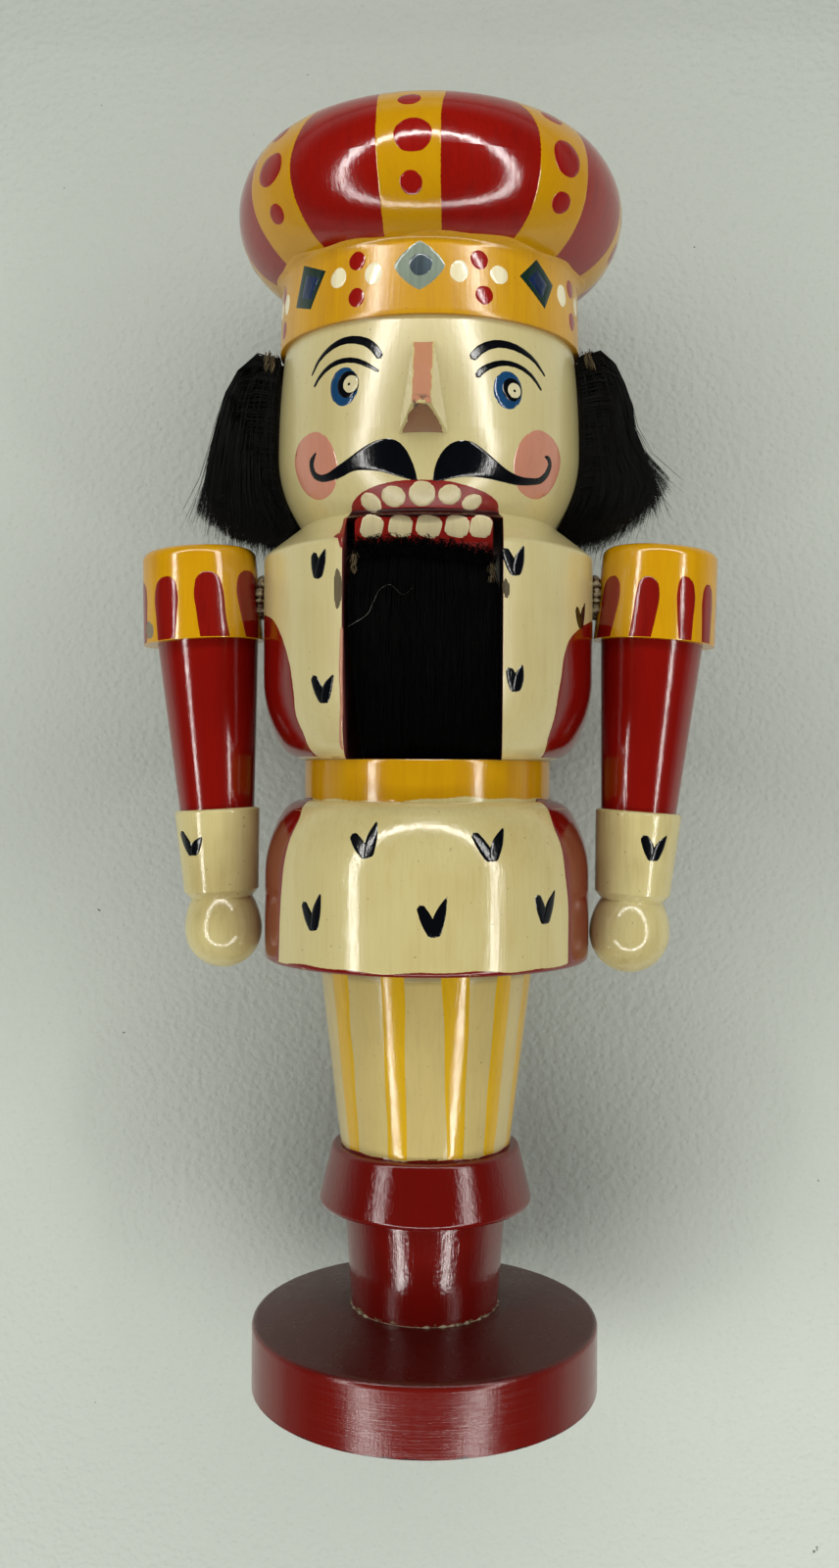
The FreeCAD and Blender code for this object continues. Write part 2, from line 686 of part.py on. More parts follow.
def make_column_dowels():
    """The dowels that hold the column together, from the base up to the crown."""
    post = ("Sizes.post_dowel_radius", "Sizes.post_dowel_depth")
    dowel("ankle_dowel", *post, BASE_TOP)
    dowel("knee_dowel", *post, BOOTS_TOP)
    dowel("hip_dowel", *post, TROUSERS_TOP)
    dowel("crown_dowel", *post, HEAD_TOP)
    for side, sign in (("left", ""), ("right", "-")):
        dowel(f"{side}_waist_dowel", "Sizes.waist_dowel_radius", "Sizes.waist_dowel_depth", WAIST_TOP,
              f"{sign}{CHEEK_MIDDLE}")


class Arm:
    """One arm: a shoulder cap, a sleeve and a hand on an axis that leans in towards the hip."""

    def __init__(self, side):
        self.side = side
        self.sign = 1 if side == "left" else -1
        self.tilt = f"Sizes.{side}_arm_tilt"
        self.offset = f"Sizes.{side}_cap_offset"
        self.level = f"({WAIST_TOP} + {CAP_FOOT})"
        self.cap_place = f"(Sizes.torso_radius + Sizes.{side}_cap_gap + Sizes.shoulder_cap_foot_radius)"
        self.place = f"({self.cap_place} - {self.offset} * cos({self.tilt}))"
        self.dowel_level = f"{self.level} + Sizes.shoulder_dowel_rise"
        self.dowel_length = "2 * Sizes.shoulder_dowel_depth"

    def lean(self, piece, across, level):
        """Leans a piece with the arm, about a point given outwards from the middle and up."""
        lean = FreeCAD.Rotation(V(0, self.sign, 0), value(self.tilt))
        piece.Placement = FreeCAD.Placement(V(0, 0, 0), lean)
        bind(piece, Placement__Rotation__Angle=self.tilt, Placement__Base__x=f"{self.sign} * ({across})",
             Placement__Base__z=level)

    def along(self, piece, distance):
        """Leans a piece whose origin lies some distance down the arm's axis."""
        self.lean(piece, f"{self.place} - ({distance}) * sin({self.tilt})",
                  f"{self.level} - ({distance}) * cos({self.tilt})")

    def shoulder_rod(self, label, spread="0", reach="0"):
        """The shoulder dowel, or with its clearances the hole that it needs in the cap."""
        start = "Sizes.torso_radius - Sizes.shoulder_dowel_depth"
        if self.sign < 0:
            start = f"-(Sizes.torso_radius + Sizes.shoulder_dowel_depth + {reach})"
        return rod(label, f"Sizes.shoulder_dowel_radius + {spread}", start, f"{self.dowel_length} + {reach}",
                   "0", self.dowel_level)

    def make_cap(self):
        body = new_body(f"{self.side}_cap_turning")
        outline = Outline(new_sketch(body, f"{self.side}_cap_section"), "0", "0")
        outline.line("Sizes.shoulder_cap_foot_radius", "0")
        outline.line(CAP_TOP_RADIUS, "Sizes.shoulder_cap_height")
        outline.arc("0", "Sizes.shoulder_cap_height + Sizes.shoulder_cap_crown")
        turn(body, f"{self.side}_cap_revolution", outline.close())
        round_edges(body, f"{self.side}_cap_rounding", "Sizes.shoulder_cap_edge",
                    rim(CAP_TOP_RADIUS, "Sizes.shoulder_cap_height"))
        dowel_hole(body, f"{self.side}_cap_mortise", "Sizes.tenon_radius", "Sizes.tenon_length",
                   "0", upwards=True, across=f"{-self.sign} * {self.offset}")
        self.lean(body, self.cap_place, f"{self.level} - {self.offset} * sin({self.tilt})")
        hole = self.shoulder_rod(f"{self.side}_cap_hole", "Sizes.dowel_clearance", "Sizes.dowel_end_gap")
        keep(cut_away(f"{self.side}_shoulder_cap", body, hole))

    def make_sleeve(self):
        body = new_body(f"{self.side}_sleeve")
        outline = Outline(new_sketch(body, f"{self.side}_sleeve_section"), "0", "-Sizes.sleeve_length")
        outline.line("Sizes.wrist_radius", "-Sizes.sleeve_length").line(SLEEVE_RADIUS, "0")
        outline.line("Sizes.tenon_radius", "0").line("Sizes.tenon_radius", "Sizes.tenon_length")
        turn(body, f"{self.side}_sleeve_turning", outline.line("0", "Sizes.tenon_length").close())
        dowel_hole(body, f"{self.side}_sleeve_hole", "Sizes.wrist_dowel_radius", "Sizes.wrist_dowel_depth",
                   "-Sizes.sleeve_length", upwards=True)
        self.along(body, "0")
        keep(body)

    def make_hand(self):
        """A turned hand: the cuff, a neck under it and a ball for the fist."""
        body = new_body(f"{self.side}_hand")
        ball = f"Sizes.{self.side}_ball_radius"
        neck = "-(Sizes.hand_cuff_height + Sizes.hand_neck_height)"
        middle = f"{neck} - Sizes.hand_ball_drop"
        outline = Outline(new_sketch(body, f"{self.side}_hand_section"), "0", "0")
        outline.line(HAND_CUFF_RADIUS, "0")
        outline.line(f"{HAND_CUFF_RADIUS} - Sizes.hand_cuff_taper", "-Sizes.hand_cuff_height")
        outline.line("Sizes.hand_neck_radius", neck).arc(ball, middle, middle)
        outline.arc("0", f"{middle} - {ball}", middle)
        turn(body, f"{self.side}_hand_turning", outline.close())
        round_edges(body, f"{self.side}_hand_cuff_rounding", "Sizes.hand_cuff_edge",
                    rim(HAND_CUFF_RADIUS, "0"))
        dowel_hole(body, f"{self.side}_hand_hole", "Sizes.wrist_dowel_radius", "Sizes.wrist_dowel_depth",
                   "0", upwards=False)
        self.along(body, "Sizes.sleeve_length")
        keep(body)

    def make_dowels(self):
        keep(self.shoulder_rod(f"{self.side}_shoulder_dowel"))
        peg = doc.addObject("Part::Cylinder", f"{self.side}_wrist_dowel")
        peg.Label = f"{self.side}_wrist_dowel"
        bind(peg, Radius="Sizes.wrist_dowel_radius", Height="2 * Sizes.wrist_dowel_depth")
        self.along(peg, "Sizes.sleeve_length + Sizes.wrist_dowel_depth")
        keep(peg)

    def make(self):
        self.make_cap()
        self.make_sleeve()
        self.make_hand()
        self.make_dowels()


def make_hair(head):
    """Fur on a strip of hide that is glued round the back of the head from ear to ear."""
    hide = new_body("hair_hide_ring")
    outside = "(Sizes.head_radius + Sizes.hair_hide)"
    section = rectangle(new_sketch(hide, "hair_hide_section"), NECK_RADIUS, outside,
                        f"{NECK} + Sizes.hair_hide_rise", f"{HEAD_HEIGHT} - Sizes.hair_hide_drop")
    turn(hide, "hair_hide_turning", section, "Sizes.hair_wrap")
    fur = new_body("hair_fur")
    foot = f"{NECK} + Sizes.hair_rise"
    top = f"{HEAD_HEIGHT} - Sizes.hair_drop"
    outline = Outline(new_sketch(fur, "hair_section"), outside, foot)
    outline.line(f"{outside} + Sizes.hair_foot_thickness", foot)
    outline.line(f"{outside} + Sizes.hair_swell_thickness", f"{foot} + Sizes.hair_swell_rise")
    outline.line(f"{outside} + Sizes.hair_top_thickness", top).line(outside, top)
    turn(fur, "hair_turning", outline.close(), "Sizes.hair_wrap")
    for body in (hide, fur):
        lead = "(Sizes.hair_wrap - 180) / 2"
        body.Placement = FreeCAD.Placement(V(0, 0, 0), FreeCAD.Rotation(V(0, 0, -1), value(lead)))
        bind(body, Placement__Rotation__Angle=lead, Placement__Base__z=WAIST_TOP)
    keep(cut_away("hair_backing", hide, head))
    keep(fur)


def make_beard():
    """Fur on a strip of hide that is glued to the jaw's front under the teeth, down to the slot's floor."""
    front = f"(Sizes.pin_setback - {JAW_REACH} - Sizes.beard_hide)"
    jaw_top = f"({SLOT_HEIGHT} - Sizes.jaw_gap)"
    top = f"({jaw_top} - Sizes.beard_drop)"
    hide = doc.addObject("Part::Box", "beard_backing")
    hide.Label = "beard_backing"
    bind(hide, Length="Sizes.beard_hide_width", Width="Sizes.beard_hide", Height="Sizes.beard_hide_height")
    bind(hide, Placement__Base__x="-Sizes.beard_hide_width / 2", Placement__Base__y=front,
         Placement__Base__z=f"{WAIST_TOP} + {top} - Sizes.beard_hide_height")
    keep(hide)
    fur = new_body("beard_fur")
    outline = Outline(new_sketch(fur, "beard_section", "YZ_Plane"), front, top)
    outline.line(f"{front} - Sizes.beard_front / 2", top)
    outline.line(f"{front} - Sizes.beard_front", f"{top} - Sizes.beard_bulge_drop")
    outline.line(f"{front} + Sizes.beard_foot_setback", "Sizes.beard_floor_gap")
    outline.line(f"{front} + Sizes.beard_depth", "Sizes.beard_floor_gap")
    outline.line(front, f"{jaw_top} - Sizes.chin_depth")
    pad = fur.newObject("PartDesign::Pad", "beard_pad")
    pad.Profile = outline.close()
    pad.SideType = "Symmetric"
    bind(pad, Length="Sizes.slot_width - 2 * Sizes.beard_side_gap")
    bind(fur, Placement__Base__z=WAIST_TOP)
    keep(fur)


def check_document():
    """Stops at any object that failed, and at any finished piece that is not a sound solid."""
    for item in doc.Objects:
        if "Invalid" in item.State or "Error" in item.State:
            raise RuntimeError(f"{item.Label} failed: {item.State}")
    for piece in parts:
        if piece.Shape.isNull() or not piece.Shape.isValid() or len(piece.Shape.Solids) != 1:
            raise RuntimeError(f"{piece.Label} is not one valid solid")


make_base_plate()
make_boots()
make_trousers()
make_waist_and_skirt()
torso = make_head_and_torso()
make_crown()
make_nose(torso)
make_jaw_lever()
make_jaw_pin()
make_column_dowels()
for arm_side in ("left", "right"):
    Arm(arm_side).make()
make_hair(torso)
make_beard()
doc.recompute()
check_document()

os.makedirs("parts", exist_ok=True)
for piece in parts:
    piece.Shape.exportStep(f"parts/{piece.Label}.step")
print(f"{len(parts)} pieces written")
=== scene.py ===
"""Dresses the turned wooden king in enamel, painted ornament, fur and glue, and sets the stage.

Sizes in the tables are millimetres on the figure, and angles are degrees round a turned piece's
axis, nought at the front and growing towards +X. Everything is put into the meshes in metres.
"""

import math

import bmesh
import bpy
import numpy as np
from bpy.props import FloatProperty, FloatVectorProperty, IntProperty, PointerProperty
from mathutils import Matrix, Vector


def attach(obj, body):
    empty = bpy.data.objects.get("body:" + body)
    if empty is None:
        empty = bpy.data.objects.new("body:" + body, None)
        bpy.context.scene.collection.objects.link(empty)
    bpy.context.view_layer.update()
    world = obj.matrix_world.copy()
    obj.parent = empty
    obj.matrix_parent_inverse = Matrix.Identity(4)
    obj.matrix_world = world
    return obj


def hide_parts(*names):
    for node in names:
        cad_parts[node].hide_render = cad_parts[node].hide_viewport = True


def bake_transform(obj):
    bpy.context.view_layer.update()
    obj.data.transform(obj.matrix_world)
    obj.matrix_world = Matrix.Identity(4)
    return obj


bl_info = {
    "name": "Painted King Nutcracker",
    "version": (1, 0, 0),
    "blender": (4, 5, 0),
    "location": "3D View > Sidebar > Nutcracker",
    "description": "Enamels, painted ornament, fur and a stage for the turned wooden king",
    "category": "Object",
}

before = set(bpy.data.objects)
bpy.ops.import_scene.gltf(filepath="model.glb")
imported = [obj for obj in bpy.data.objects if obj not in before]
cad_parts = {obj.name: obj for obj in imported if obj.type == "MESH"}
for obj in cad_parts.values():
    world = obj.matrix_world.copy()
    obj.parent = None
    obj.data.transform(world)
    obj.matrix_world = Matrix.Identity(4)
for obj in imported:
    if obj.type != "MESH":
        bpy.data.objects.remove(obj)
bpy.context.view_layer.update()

MM = 0.001
# Upper end of the phases drawn for waves
PHASE = 6.28

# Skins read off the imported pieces: fewest corners in a ring, and slack in its radius
RING_CORNERS = 24
RING_SLACK = 0.004
# Skins laid on them: size and number of cells, depth of the underside, width and height of the rim's slope
CELL = 1.0
MOST_CELLS = 240
SINK = 0.35
BRIM = 0.20
BRIM_LIFT = -0.012
# Strokes: length and number of steps, thinnest line, thinnest end, and widest half that adds to the dome
STROKE_STEP = 0.25
MOST_STROKE_STEPS = 110
THINNEST_STROKE = 0.06
THINNEST_END = 0.02
WIDEST_DOME = 0.6
MARK_DOME = 0.02
# The two strokes of an ermine tail
TAIL_WIDTHS = [1.4, 2.3, 2.0]
TAIL_TIP_WIDTHS = [2.0, 2.1, 0.2]
TAIL_TIP_LIFT = 0.012
# Fur: how much thinner a strand is at its tip, how late it thins, places along a short hair, and a direction
# that no strand follows
TIP_THINNING = 0.85
HAIR_TAPER = 1.4
BEARD_TAPER = 1.6
SHORT_STEPS = 5
ASKEW = np.array([0.31, 0.52, 0.79])

# Places on the figure, in millimetres
BASE_RIM = 15.7
BASE_SEAT = 18.85
BOOTS_TOP = 57.0
SKIRT_FOOT = 101.2
WAIST_TOP = 147.9
SLOT_HALF = 17.35
SLOT_CEILING = 201.4
HEAD_FOOT = 202.5
HEAD_TOP = 243.7
BAND_TOP = 260.0
JAW_FRONT = -29.5
NOSE_TIP = (0.0, -46.1, 221.6)
RIDGE_NORMAL = (0.0, -0.820, 0.572)
UNDERSIDE_NORMAL = (0.0, -0.330, -0.944)
CAP_FOOT = 176.0
LEFT_TILT = 4.1
RIGHT_TILT = 3.4
LEFT_CAP_AXIS = 53.7
RIGHT_CAP_AXIS = 54.0
DOWEL_LEVEL = 187.0
LEFT_SLEEVE_OFFSET = 0.5
RIGHT_SLEEVE_OFFSET = 1.0
HIDE_RADIUS = 37.0
HAIR_TOP = 242.7
BEARD_FACE = -30.7
# The beard's upper edge: level and sideways place of its crest, its fall for each square of the way off it,
# and how far the fur covers the hide under it
BEARD_TOP = 195.1
BEARD_CREST = -6.0
BEARD_TOP_BEND = 0.0066
BEARD_COVER = 0.6


def srgb(red, green, blue):
    """Linear colour of a display colour: each share c of 255 becomes ((c + 0.055) / 1.055) ** 2.4."""
    share = (np.array([red, green, blue]) / 255.0 + 0.055) / 1.055
    return tuple(float(c) for c in share**2.4)


def paint_colour(name, description, red, green, blue):
    """A colour that a user may change, with its default as a display colour."""
    return FloatVectorProperty(name=name, description=description, subtype="COLOR", size=3,
                               min=0.0, max=1.0, default=srgb(red, green, blue))


def length(name, description, default, low, high):
    """A length in metres that a user may change."""
    return FloatProperty(name=name, description=description, default=default, min=low, max=high,
                         unit="LENGTH", precision=5)


class KingPaint(bpy.types.PropertyGroup):
    """Colours of the enamels, the ornament and the bare materials."""

    cream: paint_colour("Cream", "Aged cream of the face, robe and hands", 205, 194, 138)
    cream_shade: paint_colour("Cream shade", "Where the cream has yellowed", 190, 172, 112)
    robe_red: paint_colour("Robe red", "Red of the sleeves and robe", 124, 12, 5)
    crown_red: paint_colour("Crown red", "Red of the crown's cap", 140, 16, 8)
    boot_red: paint_colour("Boot red", "Red of the boots", 102, 12, 6)
    base_red: paint_colour("Base red", "Duller red of the base", 106, 16, 9)
    # Base top: a darker red for the top of the base plate, painted shade
    base_top_shade: paint_colour("Base top", "Dull, handled red of the base's top", 66, 12, 8)
    gold: paint_colour("Gold", "Warm yellow of band, belt and caps", 203, 151, 10)
    gold_shade: paint_colour("Gold shade", "Thick places in the yellow", 180, 124, 6)
    stripe_gold: paint_colour("Stripe gold", "Thinner yellow of the trousers' stripes", 206, 164, 26)
    ink: paint_colour("Ink", "Blue-black of brows, moustache and tail marks", 5, 8, 14)
    slot_red: paint_colour("Slot red", "Dark red inside the mouth slot", 118, 10, 10)
    lip_red: paint_colour("Lip red", "Red of the lip and jaw", 134, 22, 15)
    tooth: paint_colour("Tooth", "Ivory of the teeth", 202, 190, 148)
    cheek: paint_colour("Cheek", "Pink of the cheeks", 196, 134, 110)
    nose_ridge: paint_colour("Nose ridge", "Pink strip down the nose", 192, 136, 106)
    nose_foot: paint_colour("Nose foot", "Brown-pink under the nose", 138, 98, 72)
    eye_blue: paint_colour("Eye blue", "Blue of the irises", 24, 70, 112)
    jewel_blue: paint_colour("Jewel blue", "Blue disc on the front jewel", 88, 104, 114)
    jewel_dark: paint_colour("Jewel dark blue", "Dark blue heart of the other jewels", 20, 40, 78)
    jewel_grey: paint_colour("Jewel grey", "Grey-green of the front jewel", 138, 152, 136)
    jewel_green: paint_colour("Jewel green", "Dark green edge of the jewels", 16, 44, 34)
    wood: paint_colour("Wood", "Bare beech", 176, 138, 88)
    steel: paint_colour("Steel", "Pin of the jaw", 150, 148, 142)
    fur_black: paint_colour("Fur black", "Hair and beard", 4, 5, 5)
    hide: paint_colour("Hide", "Backing of the fur", 66, 56, 42)
    glue: paint_colour("Glue", "Dried glue in the seams", 150, 140, 112)


class KingSizes(bpy.types.PropertyGroup):
    """Sizes of the paint, the fur and the glue."""

    coat: length("Paint thickness", "Height of a flat painted area", 0.000025, 0.00002, 0.0003)
    mark: length("Mark thickness", "Height of a brushed mark", 0.00005, 0.00003, 0.0005)
    strand: length("Strand width", "Width of a fur strand at its root", 0.00030, 0.0001, 0.001)
    hair_strands: IntProperty(name="Hair strands", description="Strands at each side of the hair",
                              default=3900, min=100, max=5000)
    beard_strands: IntProperty(name="Beard strands", description="Strands in the beard",
                               default=4200, min=100, max=5000)
    bead: length("Glue bead", "Size of the glue beads", 0.0009, 0.0002, 0.003)


class KingStage(bpy.types.PropertyGroup):
    """Camera, lamps and backdrop."""

    camera_distance: length("Camera distance", "From the camera to the figure's axis", 0.340, 0.2, 2.0)
    camera_height: length("Camera height", "Height of the camera's level line", 0.144, 0.0, 1.0)
    camera_shift: length("Camera sideways", "How far the camera stands to the left", 0.00188, -0.1, 0.1)
    camera_turn: FloatProperty(name="Camera turn", description="Turn of the view about the figure",
                               default=math.radians(2.4), min=-0.5, max=0.5, subtype="ANGLE")
    camera_roll: FloatProperty(name="Camera roll", description="Lean of the picture",
                               default=math.radians(0.3), min=-0.2, max=0.2, subtype="ANGLE")
    lamp_distance: length("Ring lamp distance", "In front of the figure's axis", 0.335, 0.1, 2.0)
    lamp_radius: length("Ring lamp radius", "Radius of the ring of lamps", 0.372, 0.05, 2.0)
    lamp_width: length("Ring lamp width", "Width of the ring's band", 0.032, 0.005, 0.5)
    lamp_height: length("Ring lamp height", "Height of the ring's centre", 0.13, 0.0, 1.0)
    lamp_power: FloatProperty(name="Ring lamp power", description="Power of the whole ring",
                              default=6.0, min=0.0, max=100.0, unit="POWER")
    lamps: IntProperty(name="Lamps in the ring", description="Number of small lamps", default=24,
                       min=6, max=96)
    room: FloatProperty(name="Room light", description="Strength of the room's even light",
                        default=0.75, min=0.0, max=5.0)
    backdrop: length("Backdrop distance", "Behind the figure's axis", 0.0548, 0.05, 2.0)
    board: paint_colour("Board", "Pale plastic board behind the figure", 191, 198, 190)


# Shapes

def flow(points, count):
    """Even places along a smooth curve through points: a cubic between each pair whose slopes are the
    chords across each point, walked by chord length."""
    points = np.asarray(points, float)
    if len(points) == 2:
        return points[0] + np.linspace(0.0, 1.0, count)[:, None] * (points[1] - points[0])
    chord = np.linalg.norm(np.diff(points, axis=0), axis=1)
    knot = np.concatenate([[0.0], np.cumsum(chord)])
    slope = np.gradient(points, knot, axis=0)
    t = np.linspace(0.0, knot[-1], count)
    i = np.clip(np.searchsorted(knot, t, side="right") - 1, 0, len(chord) - 1)
    span = chord[i][:, None]
    u = ((t - knot[i]) / chord[i])[:, None]
    return ((2 * u**3 - 3 * u**2 + 1) * points[i] + (u**3 - 2 * u**2 + u) * span * slope[i]
            + (3 * u**2 - 2 * u**3) * points[i + 1] + (u**3 - u**2) * span * slope[i + 1])


class Turned:
    """Outer skin of a turned piece: origin + up * level + (side * sin(angle) + front * cos(angle)) * radius,
    pushed out by lift along the profile's normal. Its second parameter runs along the profile."""

    def __init__(self, node, low, high, origin=(0.0, 0.0, 0.0), side=(1.0, 0.0, 0.0), up=(0.0, 0.0, 1.0)):
        """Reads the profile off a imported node: the widest ring of corners at each level, but for the rings of
        bores, which are less than half as wide as the skin below and above them."""
        self.origin = np.array(origin)
        self.side = np.array(side)
        self.up = np.array(up)
        self.front = np.array((0.0, -1.0, 0.0))
        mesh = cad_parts[node].data
        corners = np.zeros(len(mesh.vertices) * 3)
        mesh.vertices.foreach_get("co", corners)
        corners = corners.reshape(-1, 3) / MM - self.origin
        level = np.round(corners @ self.up, 2)
        radius = np.linalg.norm(corners - (corners @ self.up)[:, None] * self.up, axis=1)
        levels, index = np.unique(level, return_inverse=True)
        widest = np.zeros(len(levels))
        np.maximum.at(widest, index, radius)
        on_ring = np.bincount(index, weights=radius > widest[index] - RING_SLACK)
        kept = (on_ring >= RING_CORNERS) & (levels >= low) & (levels <= high)
        levels = levels[kept]
        widest = widest[kept]
        below = np.maximum.accumulate(widest)
        above = np.maximum.accumulate(widest[::-1])[::-1]
        skin = widest >= 0.5 * np.minimum(below, above)
        self.set_profile(levels[skin], widest[skin])

    def set_profile(self, levels, radii):
        """Level, radius and outward normal at each step along the profile."""
        self.level = levels
        self.radius = radii
        self.run = np.concatenate([[0.0], np.cumsum(np.hypot(np.diff(levels), np.diff(radii)))])
        rise = np.gradient(levels, self.run)
        spread = np.gradient(radii, self.run)
        size = np.hypot(rise, spread)
        self.out = rise / size
        self.tip = -spread / size

    def radius_at(self, level):
        """Radius at a level."""
        return np.interp(level, self.level, self.radius)

    def chart(self, places):
        """Angle and level turned into angle and distance along the profile."""
        places = np.asarray(places, float)
        return np.stack([places[..., 0], np.interp(places[..., 1], self.level, self.run)], axis=-1)

    def scale(self, places):
        """Millimetres along the skin for one degree at the mean of some charted places."""
        return math.radians(1.0) * float(np.interp(np.mean(places[..., 1]), self.run, self.radius))

    def place(self, charted, lift):
        """Points at charted places, lifted off the skin."""
        run = charted[..., 1]
        reach = np.interp(run, self.run, self.radius) + lift * np.interp(run, self.run, self.out)
        level = np.interp(run, self.run, self.level) + lift * np.interp(run, self.run, self.tip)
        angle = np.radians(charted[..., 0])
        spoke = np.sin(angle)[..., None] * self.side + np.cos(angle)[..., None] * self.front
        return self.origin + level[..., None] * self.up + reach[..., None] * spoke

    def facing(self, x, level):
        """The angle at which the skin stands at a sideways place, seen from the front."""
        return math.degrees(math.asin(x / float(self.radius_at(level))))

    def from_front(self, places):
        """Sideways place and level turned into angle and level."""
        return [(self.facing(x, level), level) for x, level in places]


class Flat:
    """A flat face looking forwards at a set depth: its places are sideways and level."""

    def __init__(self, depth):
        self.depth = depth

    def chart(self, places):
        """Places stay as they are."""
        return np.asarray(places, float)

    def scale(self, places):
        """One unit is one millimetre."""
        return 1.0

    def place(self, charted, lift):
        """Points at charted places, lifted forwards."""
        depth = np.broadcast_to(self.depth - lift, charted[..., 0].shape)
        return np.stack([charted[..., 0], depth, charted[..., 1]], axis=-1)


class Paint:
    """Closed skins gathered into one painted piece, with a map of millimetres across and along."""

    def __init__(self, skin, lift):
        self.skin = skin
        self.lift = lift / MM
        self.points = []
        self.quads = []
        self.flat = []
        self.maps = []
        self.total = 0

    def add(self, charted, lift, wrap=False):
        """A grid of charted places laid on the skin: a lifted top that slopes down into the skin round its
        rim, a sunk underside and a wall. With wrap, the grid's first direction runs right round and meets
        itself."""
        scale = self.skin.scale(charted)
        grid = charted * (scale, 1.0)
        grid = np.concatenate([brim(grid[:, 0], grid[:, 1])[:, None], grid,
                               brim(grid[:, -1], grid[:, -2])[:, None]], axis=1)
        lift = np.pad(lift, ((0, 0), (1, 1)), constant_values=BRIM_LIFT)
        if not wrap:
            grid = np.concatenate([brim(grid[0], grid[1])[None], grid,
                                   brim(grid[-1], grid[-2])[None]], axis=0)
            lift = np.pad(lift, ((1, 1), (0, 0)), constant_values=BRIM_LIFT)
        charted = grid / (scale, 1.0)
        top = self.skin.place(charted, lift)
        under = self.skin.place(charted, np.full(charted.shape[:2], -SINK))
        rows, columns = charted.shape[:2]
        index = np.arange(rows * columns).reshape(rows, columns)
        if wrap:
            index = np.vstack([index, index[:1]])
        below = index + rows * columns
        top_quads = grid_quads(index)
        first = top.reshape(-1, 3)[top_quads[0]]
        outward = first[0] - under.reshape(-1, 3)[top_quads[0][0]]
        if np.dot(np.cross(first[1] - first[0], first[3] - first[0]), outward) < 0:
            index = index[:, ::-1]
            below = below[:, ::-1]
            top_quads = grid_quads(index)
        walls = [wall(index[:, 0], below[:, 0], False), wall(index[:, -1], below[:, -1], True)]
        if not wrap:
            walls += [wall(index[0], below[0], True), wall(index[-1], below[-1], False)]
        sides = np.vstack([grid_quads(below)[:, ::-1], *walls])
        rim = np.zeros((index.shape[0] - 1, index.shape[1] - 1), bool)
        rim[:, [0, -1]] = True
        if not wrap:
            rim[[0, -1]] = True
        self.points += [top.reshape(-1, 3), under.reshape(-1, 3)]
        self.quads += [top_quads + self.total, sides + self.total]
        self.flat += [rim.ravel(), np.ones(len(sides), bool)]
        self.maps += [(charted * (scale, 1.0)).reshape(-1, 2)] * 2
        self.total += 2 * rows * columns

    def between(self, near, far, lift=0.0, wrap=False):
        """The area between two smooth curves given as places: straight lines join them, step by step."""
        near = self.skin.chart(near)
        far = self.skin.chart(far)
        scale = self.skin.scale(near)
        measure = np.array([scale, 1.0])
        longest = np.linalg.norm(np.diff(near * measure, axis=0), axis=1).sum()
        widest = np.abs((far[: len(near)] - near[: len(far)]) * measure).max()
        along = int(max(4, min(MOST_CELLS, longest / CELL)))
        across = int(max(3, min(MOST_CELLS, widest / CELL))) + 1
        a = flow(near * measure, along) / measure
        b = flow(far * measure, along) / measure
        share = np.linspace(0.0, 1.0, across)[None, :, None]
        charted = a[:, None] * (1 - share) + b[:, None] * share
        if wrap:
            charted = charted[:-1]
        self.add(charted, np.full(charted.shape[:2], self.lift + lift), wrap)

    def hoop(self, turn, foot, top, lift):
        """A band that runs right round: its foot and its top are one level or a level for each angle."""
        near, far = (np.column_stack(np.broadcast_arrays(turn, level)) for level in (foot, top))
        self.between(near, far, lift, wrap=True)

    def stroke(self, places, widths, lift=0.0, dome=0.0):
        """A brushed line: a smooth curve through places, offset sideways to half its width h, higher in the
        middle. Near each end the half width is h * sqrt(1 - (1 - d / h) ** 2), where d is the way to the
        end."""
        charted = self.skin.chart(places)
        measure = np.array([self.skin.scale(charted), 1.0])
        spine = charted * measure
        size = np.linalg.norm(np.diff(spine, axis=0), axis=1).sum()
        steps = int(max(9, min(MOST_STROKE_STEPS, size / STROKE_STEP)))
        line = flow(np.column_stack([spine, widths]), steps)
        heading = np.gradient(line[:, :2], axis=0)
        heading /= np.linalg.norm(heading, axis=1)[:, None]
        normal = np.stack([-heading[:, 1], heading[:, 0]], axis=1)
        share = np.linspace(-1.0, 1.0, 5)
        half = np.maximum(line[:, 2], THINNEST_STROKE) / 2
        walked = np.linspace(0.0, size, steps)
        to_end = np.clip(np.minimum(walked, size - walked) / half, 0.0, 1.0)
        half = np.maximum(half * np.sqrt(1 - (1 - to_end)**2), THINNEST_END)
        grid = line[:, None, :2] + normal[:, None] * (half[:, None] * share)[..., None]
        height = self.lift + lift + dome * (1 - share**2) * np.minimum(half, WIDEST_DOME)[:, None]
        self.add(grid / measure, np.broadcast_to(height, grid.shape[:2]))

